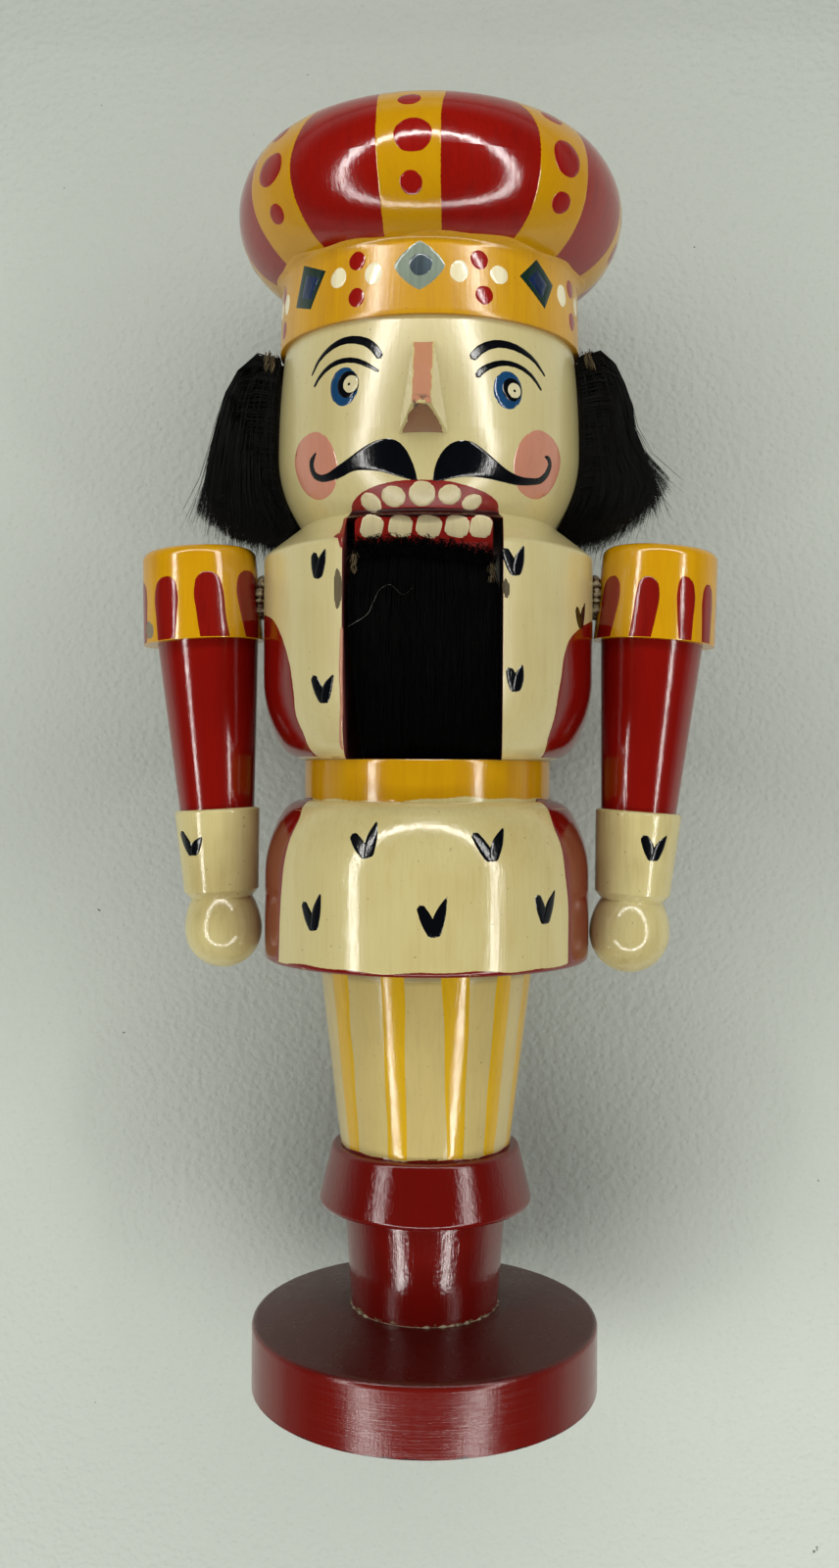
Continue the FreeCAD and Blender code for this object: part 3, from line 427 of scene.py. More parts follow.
    def spot(self, angle, level, half_width, half_height, power=2.0, lean=0.0, lift=0.0, dome=0.0, steps=9,
             ragged=0.0, seed=0):
        """A spot: a square grid bent to a disc, whose rim is |cos|^power + |sin|^power = 1, stretched and
        leant. Its rim wavers by a few seeded sines, and its middle stands higher."""
        line = np.linspace(-1.0, 1.0, steps)
        u, v = np.meshgrid(line, line, indexing="ij")
        wide = np.abs(u) >= np.abs(v)
        radius = np.where(wide, np.abs(u), np.abs(v))
        with np.errstate(divide="ignore", invalid="ignore"):
            turn = np.where(wide, (math.pi / 4) * v / u, math.pi / 2 - (math.pi / 4) * u / v)
        turn = np.nan_to_num(turn) + np.where(np.where(wide, u, v) < 0, math.pi, 0.0)
        rim = (np.abs(np.cos(turn))**power + np.abs(np.sin(turn))**power)**(-1.0 / power)
        noise = np.random.default_rng(seed)
        for wave in (2, 3, 5):
            rim = rim * (1 + ragged * noise.normal() / wave * np.sin(wave * turn + noise.uniform(0, PHASE)))
        x = radius * rim * np.cos(turn) * half_width
        y = radius * rim * np.sin(turn) * half_height
        tilt = math.radians(lean)
        place = self.skin.chart([[angle, level]])[0]
        measure = np.array([self.skin.scale(place[None]), 1.0])
        offset = np.stack([x * math.cos(tilt) - y * math.sin(tilt), x * math.sin(tilt) + y * math.cos(tilt)],
                          axis=-1)
        self.add(place + offset / measure, self.lift + lift + dome * (1 - radius**2))

    def tail_mark(self, left, foot, right):
        """An ermine tail: a short thick stroke down to the foot, and one up from it to a fine tip."""
        middle = [(a + b) / 2 for a, b in zip(left, foot)]
        self.stroke([left, middle, foot], TAIL_WIDTHS, dome=MARK_DOME)
        bend = [foot[0] * 0.45 + right[0] * 0.55 + (foot[0] - right[0]) * 0.08,
                foot[1] * 0.45 + right[1] * 0.55]
        self.stroke([foot, bend, right], TAIL_TIP_WIDTHS, TAIL_TIP_LIFT, MARK_DOME)

    def build(self, name, material, slot, body="figure"):
        """Joins the gathered skins into an object that rides its body."""
        piece = mesh_piece(name, np.vstack(self.points), np.vstack(self.quads), material)
        piece.data.polygons.foreach_set("use_smooth", ~np.concatenate(self.flat))
        layer = piece.data.uv_layers.new(name="paint_map")
        corner = np.zeros(len(piece.data.loops), int)
        piece.data.loops.foreach_get("vertex_index", corner)
        layer.data.foreach_set("uv", (np.vstack(self.maps)[corner] * MM).ravel())
        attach(piece, body)
        return piece


def wavering(turn, *waves):
    """A level that wavers round a turn: the sum of size * sin(number * angle + phase) over its waves."""
    return sum(size * np.sin(np.radians(turn) * number + phase) for size, number, phase in waves)


def brim(edge, inner):
    """A row of places a brim's width beyond the edge of a grid, straight away from the row inside it."""
    away = edge - inner
    return edge + away * (BRIM / np.maximum(np.linalg.norm(away, axis=1), 1e-6))[:, None]


def grid_quads(index):
    """Quads of a grid of corner numbers: each corner with its neighbours to the next row and column."""
    return np.stack([index[:-1, :-1], index[1:, :-1], index[1:, 1:], index[:-1, 1:]], axis=-1).reshape(-1, 4)


def wall(upper, lower, turned):
    """Quads that join two equal rows of corner numbers."""
    quads = np.stack([upper[:-1], lower[:-1], lower[1:], upper[1:]], axis=-1)
    return quads[:, ::-1] if turned else quads


def mesh_piece(name, points, faces, material, smooth=False):
    """An object of equal-sided faces: points in millimetres, one row of corner numbers for each face."""
    mesh = bpy.data.meshes.new(name)
    mesh.vertices.add(len(points))
    mesh.vertices.foreach_set("co", (np.asarray(points) * MM).astype(np.float32).ravel())
    size = faces.shape[1]
    mesh.loops.add(faces.size)
    mesh.loops.foreach_set("vertex_index", faces.astype(np.int32).ravel())
    mesh.polygons.add(len(faces))
    mesh.polygons.foreach_set("loop_start", np.arange(0, faces.size, size, dtype=np.int32))
    mesh.polygons.foreach_set("use_smooth", np.full(len(faces), smooth))
    mesh.update(calc_edges=True)
    mesh.materials.append(material)
    piece = bpy.data.objects.new(name, mesh)
    bpy.context.scene.collection.objects.link(piece)
    return piece


def strand_faces(count, steps):
    """Triangles of many three-sided strands: two to each side of each step, and one at each end."""
    ring = np.arange(3)
    after = (ring + 1) % 3
    step = np.arange(steps - 1)[:, None] * 3
    a, b, c, d = step + ring, step + after, step + 3 + ring, step + 3 + after
    sides = np.vstack([np.stack([a, b, d], -1).reshape(-1, 3), np.stack([a, d, c], -1).reshape(-1, 3)])
    ends = np.array([[0, 2, 1], [3 * steps - 3, 3 * steps - 2, 3 * steps - 1]])
    one = np.vstack([sides, ends])
    return (one[None] + (np.arange(count) * 3 * steps)[:, None, None]).reshape(-1, 3)


def strands(name, paths, width, taper, material):
    """Fur: a three-sided tube along each path. The radius of the root is multiplied by
    1 - TIP_THINNING * share ** taper, where share goes from nought at the root to one at the tip."""
    count, steps = paths.shape[:2]
    heading = np.gradient(paths, axis=1)
    heading /= np.linalg.norm(heading, axis=2, keepdims=True) + 1e-9
    across = np.cross(heading, ASKEW)
    across /= np.linalg.norm(across, axis=2, keepdims=True) + 1e-9
    other = np.cross(heading, across)
    share = np.linspace(0.0, 1.0, steps)
    radius = (width / MM / 2) * (1 - TIP_THINNING * share**taper)
    turn = np.arange(3) * 2 * math.pi / 3
    ring = np.cos(turn)[:, None] * across[:, :, None] + np.sin(turn)[:, None] * other[:, :, None]
    points = paths[:, :, None] + ring * radius[None, :, None, None]
    return mesh_piece(name, points.reshape(-1, 3), strand_faces(count, steps), material, smooth=True)


# Shader building: stretches of noise across and up the pieces, colours of dirt, and depths of bumps in metres

FINE_BRUSH = (1500.0, 1500.0, 85.0)
BROAD_BRUSH = (330.0, 330.0, 30.0)
LATHE_RINGS = (45.0, 45.0, 3400.0)
SIDE_SCRATCHES = (30.0, 30.0, 3000.0)
WOOD_RINGS = (420.0, 420.0, 28.0)
WOOD_PORES = (2600.0, 2600.0, 240.0)
STEEL_MARKS = (60.0, 3000.0, 3000.0)
HIDE_WEAVE = (1400.0, 1400.0, 2800.0)
FUR_TINTS = (900.0, 900.0, 60.0)
FRECKLE_BROWN = srgb(58, 40, 24)
ENAMEL_DEPTH = 0.00006
WOOD_DEPTH = 0.0001
STEEL_DEPTH = 0.00003
HIDE_DEPTH = 0.0002
GLUE_DEPTH = 0.0002
PEBBLE_DEPTH = 0.0006
# How much the brushwork and the masks add to the roughness
BRUSH_DULLNESS = 0.14
MASK_DULLNESS = 0.5


class Shader:
    """Adds nodes to a node tree: inputs are given by name, a socket is joined and a value is set."""

    def __init__(self, tree):
        self.tree = tree

    def node(self, kind, inputs=None, **settings):
        """One node with its settings and inputs."""
        made = self.tree.nodes.new(kind)
        for key, value in settings.items():
            setattr(made, key, value)
        for key, value in (inputs or {}).items():
            socket = made.inputs[key]
            if isinstance(value, bpy.types.NodeSocket):
                self.tree.links.new(value, socket)
            else:
                socket.default_value = value
        return made

    def math(self, operation, first, second=0.0, clamp=False):
        """One sum."""
        return self.node("ShaderNodeMath", {0: first, 1: second}, operation=operation,
                         use_clamp=clamp).outputs[0]

    def plus(self, first, second, clamp=False):
        """Two values added."""
        return self.math("ADD", first, second, clamp)

    def minus(self, first, second, clamp=False):
        """One value less another."""
        return self.math("SUBTRACT", first, second, clamp)

    def times(self, first, second, clamp=False):
        """Two values multiplied."""
        return self.math("MULTIPLY", first, second, clamp)

    def split(self, place):
        """The three measures of a place."""
        return self.node("ShaderNodeSeparateXYZ", {0: place}).outputs

    def join(self, socket, target, label):
        """A socket joined to an input of a node, by its name."""
        self.tree.links.new(socket, target.inputs[label])

    def mix(self, share, first, second):
        """One colour turned into another by a share."""
        made = self.node("ShaderNodeMix", {0: share, 6: first, 7: second}, data_type="RGBA")
        return made.outputs[2]

    def ramp(self, value, low, high):
        """Nought below low, one above high and smooth between."""
        made = self.node("ShaderNodeMapRange", {"Value": value, "From Min": low, "From Max": high},
                         interpolation_type="SMOOTHSTEP")
        return made.outputs["Result"]

    def noise(self, place, scale, detail=3.0, stretch=(1.0, 1.0, 1.0), roughness=0.5):
        """Noise whose features are 1 / scale metres, with each direction multiplied by a stretch first."""
        spread = self.node("ShaderNodeVectorMath", {0: place, 1: stretch}, operation="MULTIPLY").outputs[0]
        return self.node("ShaderNodeTexNoise", {"Vector": spread, "Scale": scale, "Detail": detail,
                                                "Roughness": roughness}).outputs["Fac"]


def rgba(colour):
    """A colour with full cover."""
    return (*colour, 1.0)


def group_of(name, inputs, outputs):
    """An empty shader group with named sockets: its tree, its inputs and the sockets it must fill."""
    tree = bpy.data.node_groups.new(name, "ShaderNodeTree")
    for label, kind in inputs:
        tree.interface.new_socket(name=label, in_out="INPUT", socket_type=kind)
    for label, kind in outputs:
        tree.interface.new_socket(name=label, in_out="OUTPUT", socket_type=kind)
    shader = Shader(tree)
    return shader, shader.node("NodeGroupInput").outputs, shader.node("NodeGroupOutput").inputs


def make_brushwork():
    """Enamel laid on by brush: fine streaks, slow yellowing, freckles of dirt and a faint orange peel."""
    shader, given, wanted = group_of(
        "brushwork",
        [("Place", "NodeSocketVector"), ("Paint", "NodeSocketColor"), ("Shade", "NodeSocketColor"),
         ("Streaks", "NodeSocketFloat"), ("Yellowing", "NodeSocketFloat"), ("Freckles", "NodeSocketFloat")],
        [("Colour", "NodeSocketColor"), ("Roughness", "NodeSocketFloat"), ("Height", "NodeSocketFloat")])
    place = given["Place"]
    streak = shader.noise(place, 1.0, 4.0, FINE_BRUSH, 0.6)
    broad = shader.noise(place, 1.0, 2.0, BROAD_BRUSH, 0.5)
    slow = shader.noise(place, 42.0, 3.0)
    peel = shader.noise(place, 900.0, 2.0)
    mote = shader.noise(place, 1150.0, 1.0)
    streaks = shader.times(shader.ramp(streak, 0.42, 0.72), given["Streaks"])
    bands = shader.times(shader.ramp(broad, 0.45, 0.75), given["Streaks"])
    yellow = shader.times(shader.ramp(slow, 0.38, 0.72), given["Yellowing"])
    share = shader.plus(shader.plus(streaks, bands), yellow, clamp=True)
    colour = shader.mix(share, given["Paint"], given["Shade"])
    freckle = shader.times(shader.ramp(mote, 0.735, 0.80), given["Freckles"], clamp=True)
    dirty = shader.mix(freckle, colour, rgba(FRECKLE_BROWN))
    height = shader.plus(shader.times(streak, 0.6), shader.times(peel, 0.4))
    for label, socket in (("Colour", dirty), ("Roughness", broad), ("Height", height)):
        shader.tree.links.new(socket, wanted[label])
    return shader.tree


def make_rim_rub():
    """Rubbed rims: noise-broken patches within a reach of a level, where the finish has gone."""
    shader, given, wanted = group_of(
        "rim_rub",
        [("Place", "NodeSocketVector"), ("Level", "NodeSocketFloat"), ("Reach", "NodeSocketFloat"),
         ("Amount", "NodeSocketFloat")],
        [("Mask", "NodeSocketFloat")])
    split = shader.split(given["Place"])
    away = shader.math("ABSOLUTE", shader.minus(split[2], given["Level"]))
    near = shader.minus(1.0, shader.math("DIVIDE", away, given["Reach"]), clamp=True)
    patch = shader.noise(given["Place"], 260.0, 4.0)
    grit = shader.noise(given["Place"], 1400.0, 2.0)
    both = shader.plus(shader.times(patch, 0.75), shader.times(grit, 0.25))
    score = shader.plus(both, shader.times(near, given["Amount"]))
    mask = shader.times(shader.ramp(score, 0.80, 0.86), shader.ramp(near, 0.0, 0.25))
    shader.tree.links.new(mask, wanted["Mask"])
    return shader.tree


def make_grain():
    """Wood: rings stretched along one direction, with short dark pores."""
    shader, given, wanted = group_of(
        "wood_grain",
        [("Place", "NodeSocketVector"), ("Light", "NodeSocketColor"), ("Dark", "NodeSocketColor")],
        [("Colour", "NodeSocketColor"), ("Height", "NodeSocketFloat")])
    rings = shader.noise(given["Place"], 1.0, 4.0, WOOD_RINGS, 0.6)
    pores = shader.noise(given["Place"], 1.0, 2.0, WOOD_PORES, 0.5)
    share = shader.math("MAXIMUM", shader.ramp(rings, 0.35, 0.75), shader.ramp(pores, 0.62, 0.70), clamp=True)
    shader.tree.links.new(shader.mix(share, given["Light"], given["Dark"]), wanted["Colour"])
    shader.tree.links.new(shader.plus(rings, pores), wanted["Height"])
    return shader.tree


def shared(name, maker):
    """A group that is built once and used by every material that asks for it."""
    return bpy.data.node_groups.get(name) or maker()


def new_material(name):
    """A material with a Principled shader and object coordinates."""
    material = bpy.data.materials.new(name)
    material.use_nodes = True
    shader = Shader(material.node_tree)
    surface = material.node_tree.nodes["Principled BSDF"]
    place = shader.node("ShaderNodeTexCoord").outputs["Object"]
    return material, shader, surface, place


def set_shader(surface, **values):
    """Constant values straight on the shader's own sockets."""
    for label, value in values.items():
        surface.inputs[label.replace("_", " ").title().replace("Ior", "IOR")].default_value = value


def bumped(shader, surface, height, strength, distance):
    """Joins a height to the shader's normal."""
    bump = shader.node("ShaderNodeBump", {"Height": height, "Strength": strength, "Distance": distance})
    shader.join(bump.outputs[0], surface, "Normal")


def brushed(shader, place, paint, shade, streaks, yellowing, freckles):
    """The brushwork group placed in a material."""
    group = shader.node("ShaderNodeGroup", node_tree=shared("brushwork", make_brushwork))
    for label, value in (("Paint", rgba(paint)), ("Shade", rgba(shade)), ("Streaks", streaks),
                         ("Yellowing", yellowing), ("Freckles", freckles)):
        group.inputs[label].default_value = value
    shader.tree.links.new(place, group.inputs["Place"])
    return group.outputs


def rubbed(shader, place, level, reach, amount):
    """The rim_rub group placed in a material: a mask of the rubbed places near a level in millimetres."""
    group = shader.node("ShaderNodeGroup", {"Place": place, "Level": level * MM, "Reach": reach * MM,
                                            "Amount": amount}, node_tree=shared("rim_rub", make_rim_rub))
    return group.outputs["Mask"]


def enamel(name, paint, shade, streaks=0.3, yellowing=0.3, freckles=0.5, gloss=0.12, shine=0.7, rims=(),
           under=None, relief=0.8, extra=None, lathe=0.0):
    """Glossy brushed enamel: brushwork, rims rubbed down to what lies under, masks of its own, and brush or
    lathe marks that break its highlights. Each rim is a level, a reach and an amount."""
    material, shader, surface, place = new_material(name)
    work = brushed(shader, place, paint, shade, streaks, yellowing, freckles)
    colour = work["Colour"]
    for level, reach, amount in rims:
        colour = shader.mix(rubbed(shader, place, level, reach, amount), colour, rgba(under))
    rough = shader.plus(shader.times(work["Roughness"], BRUSH_DULLNESS),
                        gloss - BRUSH_DULLNESS / 2)
    if extra is not None:
        colour, dull = extra(shader, place, colour)
        rough = shader.plus(rough, shader.times(dull, MASK_DULLNESS))
    height = work["Height"]
    if lathe:
        rings = shader.noise(place, 1.0, 4.0, LATHE_RINGS, 0.6)
        height = shader.plus(height, shader.times(rings, lathe))
    shader.join(colour, surface, "Base Color")
    shader.join(rough, surface, "Roughness")
    bumped(shader, surface, height, relief, ENAMEL_DEPTH)
    set_shader(surface, specular_ior_level=shine, ior=1.5)
    return material


def toned(colour, share):
    """A colour times a share."""
    return tuple(c * share for c in colour)


def clad(material, *nodes):
    """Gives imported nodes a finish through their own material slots."""
    for node in nodes:
        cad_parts[node].material_slots[0].material = material


# Skins that the ornament follows

def arm_frame(side):
    """Origin, sideways and upward directions of an arm's own axis: 1 is the figure's left, -1 its right."""
    tilt = math.radians(LEFT_TILT if side > 0 else RIGHT_TILT)
    axis = LEFT_CAP_AXIS if side > 0 else RIGHT_CAP_AXIS
    return ((side * axis, 0.0, CAP_FOOT), (math.cos(tilt), 0.0, -side * math.sin(tilt)),
            (side * math.sin(tilt), 0.0, math.cos(tilt)))


def cap_skin(side):
    """The shoulder cap's skin, with levels from its underside."""
    origin, sideways, up = arm_frame(side)
    return Turned("left_shoulder_cap" if side > 0 else "right_shoulder_cap", -0.5, 23.5, origin, sideways, up)


def hand_skin(side):
    """The hand's skin, on the sleeve's axis."""
    origin, sideways, up = arm_frame(side)
    offset = (LEFT_SLEEVE_OFFSET if side > 0 else RIGHT_SLEEVE_OFFSET) * side
    origin = tuple(o - offset * s for o, s in zip(origin, sideways))
    return Turned("left_hand" if side > 0 else "right_hand", -59.0, -40.0, origin, sideways, up)


class KingOperator:
    """What every step of the dressing shares."""

    bl_options = {"REGISTER"}

    def paint(self, context):
        """The colours."""
        return context.scene.king_paint

    def sizes(self, context):
        """The sizes."""
        return context.scene.king_sizes


# Masks, in millimetres: slack at the slot's edge and ceiling, levels of the painted shade and dirt under the
# skirt, levels where the base's darker, duller top (painted shade) fades in, where its side ends, the height of
# the crown's yellow over its band, and on the nose the ridge's half width and waver, the slack of its faces,
# its bare end and the reach of the dirt at its tip
SLOT_SLACK = (0.05, 0.04)
HIP_SHADE_AND_DIRT = (97.2, 99.5)
SHADE_AND_DIRT_BROWN = srgb(74, 58, 38)
TOP_FADE = (14.8, 15.8)
SIDE_TOP = 15.3
TOP_DULLNESS = 0.26
SCRATCH_DULLNESS = 0.16
BAND_SLACK = 0.4
BAND_DULLNESS = 0.2
RIDGE_HALF = 2.5
RIDGE_WAVER = 1.1
NOSE_SLACK = 0.15
BARE_END = 1.0
END_RUB = (0.8, 3.8)
RUB_BROWN = srgb(72, 58, 48)
# The underside's half width in metres is this times the root of the way from the nose's tip
ARCH_SPREAD = 0.0460


def slot_masks(king):
    """Dark red walls and ceiling of the mouth slot, mixed over the cream."""
    def extra(shader, place, colour):
        split = shader.split(place)
        beside, above = SLOT_SLACK
        off = shader.math("ABSOLUTE", split[0])
        inside = shader.times(shader.math("LESS_THAN", off, (SLOT_HALF + beside) * MM),
                              shader.math("LESS_THAN", split[2], (SLOT_CEILING + above) * MM))
        return shader.mix(inside, colour, rgba(king.slot_red)), inside
    return extra


def hip_shade_and_dirt(shader, place, colour):
    """Painted shade, with some dirt, on the trousers under the skirt's edge: browner and darker towards the
    top.
    """
    # Painted shade and dirt: brown mixed in, up to 0.6, towards the top of the trousers under the skirt's edge
    low, high = HIP_SHADE_AND_DIRT
    shade_and_dirt = shader.times(shader.ramp(shader.split(place)[2], low * MM, high * MM), 0.6)
    return shader.mix(shade_and_dirt, colour, rgba(SHADE_AND_DIRT_BROWN)), shade_and_dirt


def base_masks(king):
    """Painted shade on the base plate's top: a darker red there, which is also rougher, fading out over its
    rim; and fine turning scratches round its side."""
    def extra(shader, place, colour):
        level = shader.split(place)[2]
        low, high = TOP_FADE
        top = shader.ramp(level, low * MM, high * MM)
        rings = shader.ramp(shader.noise(place, 1.0, 4.0, SIDE_SCRATCHES, 0.6), 0.48, 0.62)
        side = shader.math("LESS_THAN", level, SIDE_TOP * MM)
        scratched = shader.times(shader.times(rings, side), SCRATCH_DULLNESS)
        dull = shader.plus(shader.times(top, TOP_DULLNESS), scratched)
        # Painted shade: the top is turned to the darker base-top red
        return shader.mix(top, colour, rgba(king.base_top_shade)), dull
    return extra


def crown_masks(king):
    """Yellow under the painted band, up to the foot of the cushion."""
    def extra(shader, place, colour):
        band = shader.math("LESS_THAN", shader.split(place)[2], (BAND_TOP + BAND_SLACK) * MM)
        return shader.mix(band, colour, rgba(king.gold_shade)), shader.times(band, BAND_DULLNESS)
    return extra


def along(shader, place, normal):
    """How far a place lies along a direction."""
    product = shader.node("ShaderNodeVectorMath", {0: place, 1: normal}, operation="DOT_PRODUCT")
    return product.outputs["Value"]


def nose_masks(king):
    """Pink ridge strip and brown underside of the nose, each a half-space off its own plane, and brown dirt
    rubbed in at the tip."""
    def extra(shader, place, colour):
        tip = [c * MM for c in NOSE_TIP]
        from_tip = shader.node("ShaderNodeVectorMath", {0: place, 1: tip}, operation="SUBTRACT").outputs[0]
        waver = shader.times(shader.noise(place, 420.0, 2.0), RIDGE_WAVER * MM)
        from_end = shader.node("ShaderNodeVectorMath", {0: from_tip}, operation="LENGTH").outputs["Value"]
        off = shader.plus(shader.math("ABSOLUTE", shader.split(place)[0]), waver)
        on_ridge = shader.times(
            shader.math("GREATER_THAN", along(shader, from_tip, RIDGE_NORMAL), -NOSE_SLACK * MM),
            shader.math("LESS_THAN", off, RIDGE_HALF * MM))
        on_ridge = shader.times(on_ridge, shader.math("GREATER_THAN", from_end, BARE_END * MM))
        arch = shader.times(shader.math("SQRT", from_end), ARCH_SPREAD)
        on_foot = shader.times(
            shader.math("GREATER_THAN", along(shader, from_tip, UNDERSIDE_NORMAL), -NOSE_SLACK * MM),
            shader.math("LESS_THAN", off, arch))
        colour = shader.mix(on_ridge, colour, rgba(king.nose_ridge))
        colour = shader.mix(on_foot, colour, rgba(king.nose_foot))
        near, far = END_RUB
        rub = shader.times(shader.minus(1.0, shader.ramp(from_end, near * MM, far * MM)),
                           shader.ramp(shader.noise(place, 900.0, 3.0), 0.53, 0.62))
        return shader.mix(rub, colour, rgba(RUB_BROWN)), rub
    return extra


# What shows where enamel is rubbed off, and the dark of the bare wood
UNDER_BASE = srgb(60, 16, 12)
UNDER_BOOTS = srgb(120, 104, 74)
UNDER_CREAM = srgb(120, 92, 52)
WOOD_DARK = srgb(150, 118, 76)


class NUTCRACKER_OT_finishes(KingOperator, bpy.types.Operator):
    """Gives every packed wooden piece its enamel, bare wood, steel or hide"""

    bl_idname = "nutcracker.finishes"
    bl_label = "Enamels"

    def execute(self, context):
        king = self.paint(context)
        clad(enamel("base_enamel", king.base_red, toned(king.base_red, 0.8), streaks=0.15, yellowing=0.4,
                    gloss=0.16, shine=0.5, rims=[(BASE_RIM, 0.9, 0.35), (0.0, 1.2, 0.35)],
                    under=UNDER_BASE, extra=base_masks(king), lathe=0.65), "base_plate")
        clad(enamel("boot_enamel", king.boot_red, toned(king.boot_red, 0.8), streaks=0.2, gloss=0.11,
                    rims=[(BASE_SEAT + 0.45, 1.6, 0.30)], under=UNDER_BOOTS, relief=1.7), "boots")
        knee_rim = (BOOTS_TOP + 0.6, 1.0, 0.25)
        clad(enamel("cream_enamel", king.cream, king.cream_shade, streaks=0.28, yellowing=0.50, freckles=0.45,
                    gloss=0.13, shine=0.8, rims=[(SKIRT_FOOT + 0.4, 0.8, 0.25), knee_rim],
                    under=UNDER_CREAM), "waist_and_skirt")
        # The trousers carry painted shade and dirt under the skirt's edge
        clad(enamel("trouser_enamel", toned(king.cream_shade, 1.05), toned(king.cream_shade, 0.85),
                    streaks=0.28, yellowing=0.40, freckles=0.45, gloss=0.13, shine=0.8, rims=[knee_rim],
                    under=UNDER_CREAM, extra=hip_shade_and_dirt), "trousers")
        clad(enamel("hand_enamel", king.cream, toned(king.cream_shade, 0.8), streaks=0.2, yellowing=0.60,
                    freckles=0.6, gloss=0.14), "left_hand", "right_hand")
        face = enamel("face_enamel", king.cream, king.cream_shade, streaks=0.22, yellowing=0.40,
                      freckles=0.35, gloss=0.21, shine=1.0, rims=[(WAIST_TOP + 0.4, 0.8, 0.25)],
                      under=UNDER_CREAM, extra=slot_masks(king))
        set_shader(face.node_tree.nodes["Principled BSDF"], coat_weight=1.0, coat_roughness=0.42)
        clad(face, "head_and_torso")
        clad(enamel("sleeve_enamel", king.robe_red, toned(king.robe_red, 0.8), streaks=0.25, freckles=0.2),
             "left_sleeve", "right_sleeve")
        clad(enamel("cap_enamel", king.gold, king.gold_shade, streaks=0.2, yellowing=0.35, freckles=0.3,
                    shine=0.8), "left_shoulder_cap", "right_shoulder_cap")
        clad(enamel("crown_enamel", king.crown_red, toned(king.crown_red, 0.7), streaks=0.4, freckles=0.1,
                    gloss=0.11, shine=0.8, extra=crown_masks(king)), "crown")
        clad(enamel("nose_enamel", king.cream, king.cream_shade, streaks=0.2, yellowing=0.35, gloss=0.20,
                    shine=0.6, extra=nose_masks(king)), "nose")
        clad(enamel("jaw_enamel", king.lip_red, toned(king.lip_red, 0.5), yellowing=0.4, freckles=0.6,
                    gloss=0.22, shine=0.6), "jaw_lever")
        clad(self.wood(king), "ankle_dowel", "knee_dowel", "hip_dowel", "crown_dowel", "left_waist_dowel",
             "right_waist_dowel", "left_shoulder_dowel", "right_shoulder_dowel", "left_wrist_dowel",
             "right_wrist_dowel")
        clad(self.steel(king), "jaw_pin")
        clad(self.hide(king), "hair_backing", "beard_backing")
        return {"FINISHED"}

    def wood(self, king):
        """Bare beech with rings and pores."""
        material, shader, surface, place = new_material("bare_beech")
        grain = shader.node("ShaderNodeGroup",
                            {"Place": place, "Light": rgba(king.wood), "Dark": rgba(WOOD_DARK)},
                            node_tree=shared("wood_grain", make_grain)).outputs
        shader.join(grain["Colour"], surface, "Base Color")
        bumped(shader, surface, grain["Height"], 0.5, WOOD_DEPTH)
        set_shader(surface, roughness=0.62)
        return material

    def steel(self, king):
        """Drawn steel with fine marks along it and dull spots."""
        material, shader, surface, place = new_material("pin_steel")
        marks = shader.noise(place, 1.0, 3.0, STEEL_MARKS)
        spots = shader.ramp(shader.noise(place, 700.0, 3.0), 0.52, 0.66)
        colour = shader.mix(spots, rgba(king.steel), rgba(toned(king.steel, 0.45)))
        shader.join(colour, surface, "Base Color")
        rough = shader.plus(shader.times(marks, 0.2), shader.times(spots, 0.3))
        shader.join(rough, surface, "Roughness")
        bumped(shader, surface, marks, 0.3, STEEL_DEPTH)
        set_shader(surface, metallic=1.0)
        return material

    def hide(self, king):
        """Woven backing of the fur: fine crossed threads over a brown hide. The jaw's red is brushed over the
        beard's, above a line that falls away by the square of the way from its crest."""
        material, shader, surface, place = new_material("fur_hide")
        weave = shader.noise(place, 1.0, 2.0, HIDE_WEAVE)
        dust = shader.noise(place, 160.0, 3.0)
        share = shader.plus(shader.times(weave, 0.6), shader.times(dust, 0.4))
        colour = shader.mix(shader.ramp(share, 0.4, 0.65), rgba(king.hide), rgba(toned(king.hide, 0.4)))
        split = shader.split(place)
        off = shader.math("POWER", shader.math("ABSOLUTE", shader.minus(split[0], BEARD_CREST * MM)), 2.0)
        level = shader.plus(split[2], shader.times(off, BEARD_TOP_BEND / MM))
        above = shader.math("GREATER_THAN", level, (BEARD_TOP - BEARD_COVER) * MM)
        bare = shader.times(above, shader.math("LESS_THAN", split[2], SLOT_CEILING * MM))
        colour = shader.mix(bare, colour, rgba(toned(king.lip_red, 0.8)))
        shader.join(colour, surface, "Base Color")
        bumped(shader, surface, weave, 0.7, HIDE_DEPTH)
        set_shader(surface, roughness=0.9)
        return material


def ornament(name, paint, shade, freckles=0.2, streaks=0.4, gloss=0.12, shine=0.7):
    """Enamel of a painted mark, made once for each name."""
    return bpy.data.materials.get(name) or enamel(name, paint, shade, streaks, 0.3, freckles, gloss, shine)


def ink_paint(king):
    """Enamel of brows, lids, pupils, moustache and ermine tails."""
    return ornament("ink_enamel", king.ink, toned(king.ink, 0.4), freckles=0.0, streaks=0.5, gloss=0.11,
                    shine=0.6)


def lip_paint(king):
    """Enamel of the lip and the red marks by the slot."""
    return ornament("lip_red", king.lip_red, toned(king.lip_red, 0.65), freckles=0.3, gloss=0.30, shine=0.5)


# Crown stripes, going round: angle of the middle, and breadth, of which the front one's is FRONT_BREADTH
CROWN_STRIPES = [(-3.8, 8.8), (42.6, 9.5), (86.5, 9.4), (132.0, 9.0), (177.0, 9.4), (-138.0, 9.2),
                 (-93.5, 9.0), (-49.4, 10.4)]
FRONT_BREADTH = 8.8
# Half width of the front stripe at two levels, and the most that a half width may be of the radius
STRIPE_WIDTHS = ([260.0, 290.0], [6.1, 7.0])
WIDEST_SHARE = 0.33
STRIPE_LEVELS = np.array([260.3, 264.0, 270.0, 276.0, 283.0, 290.0, 294.0, 296.6, 297.6])
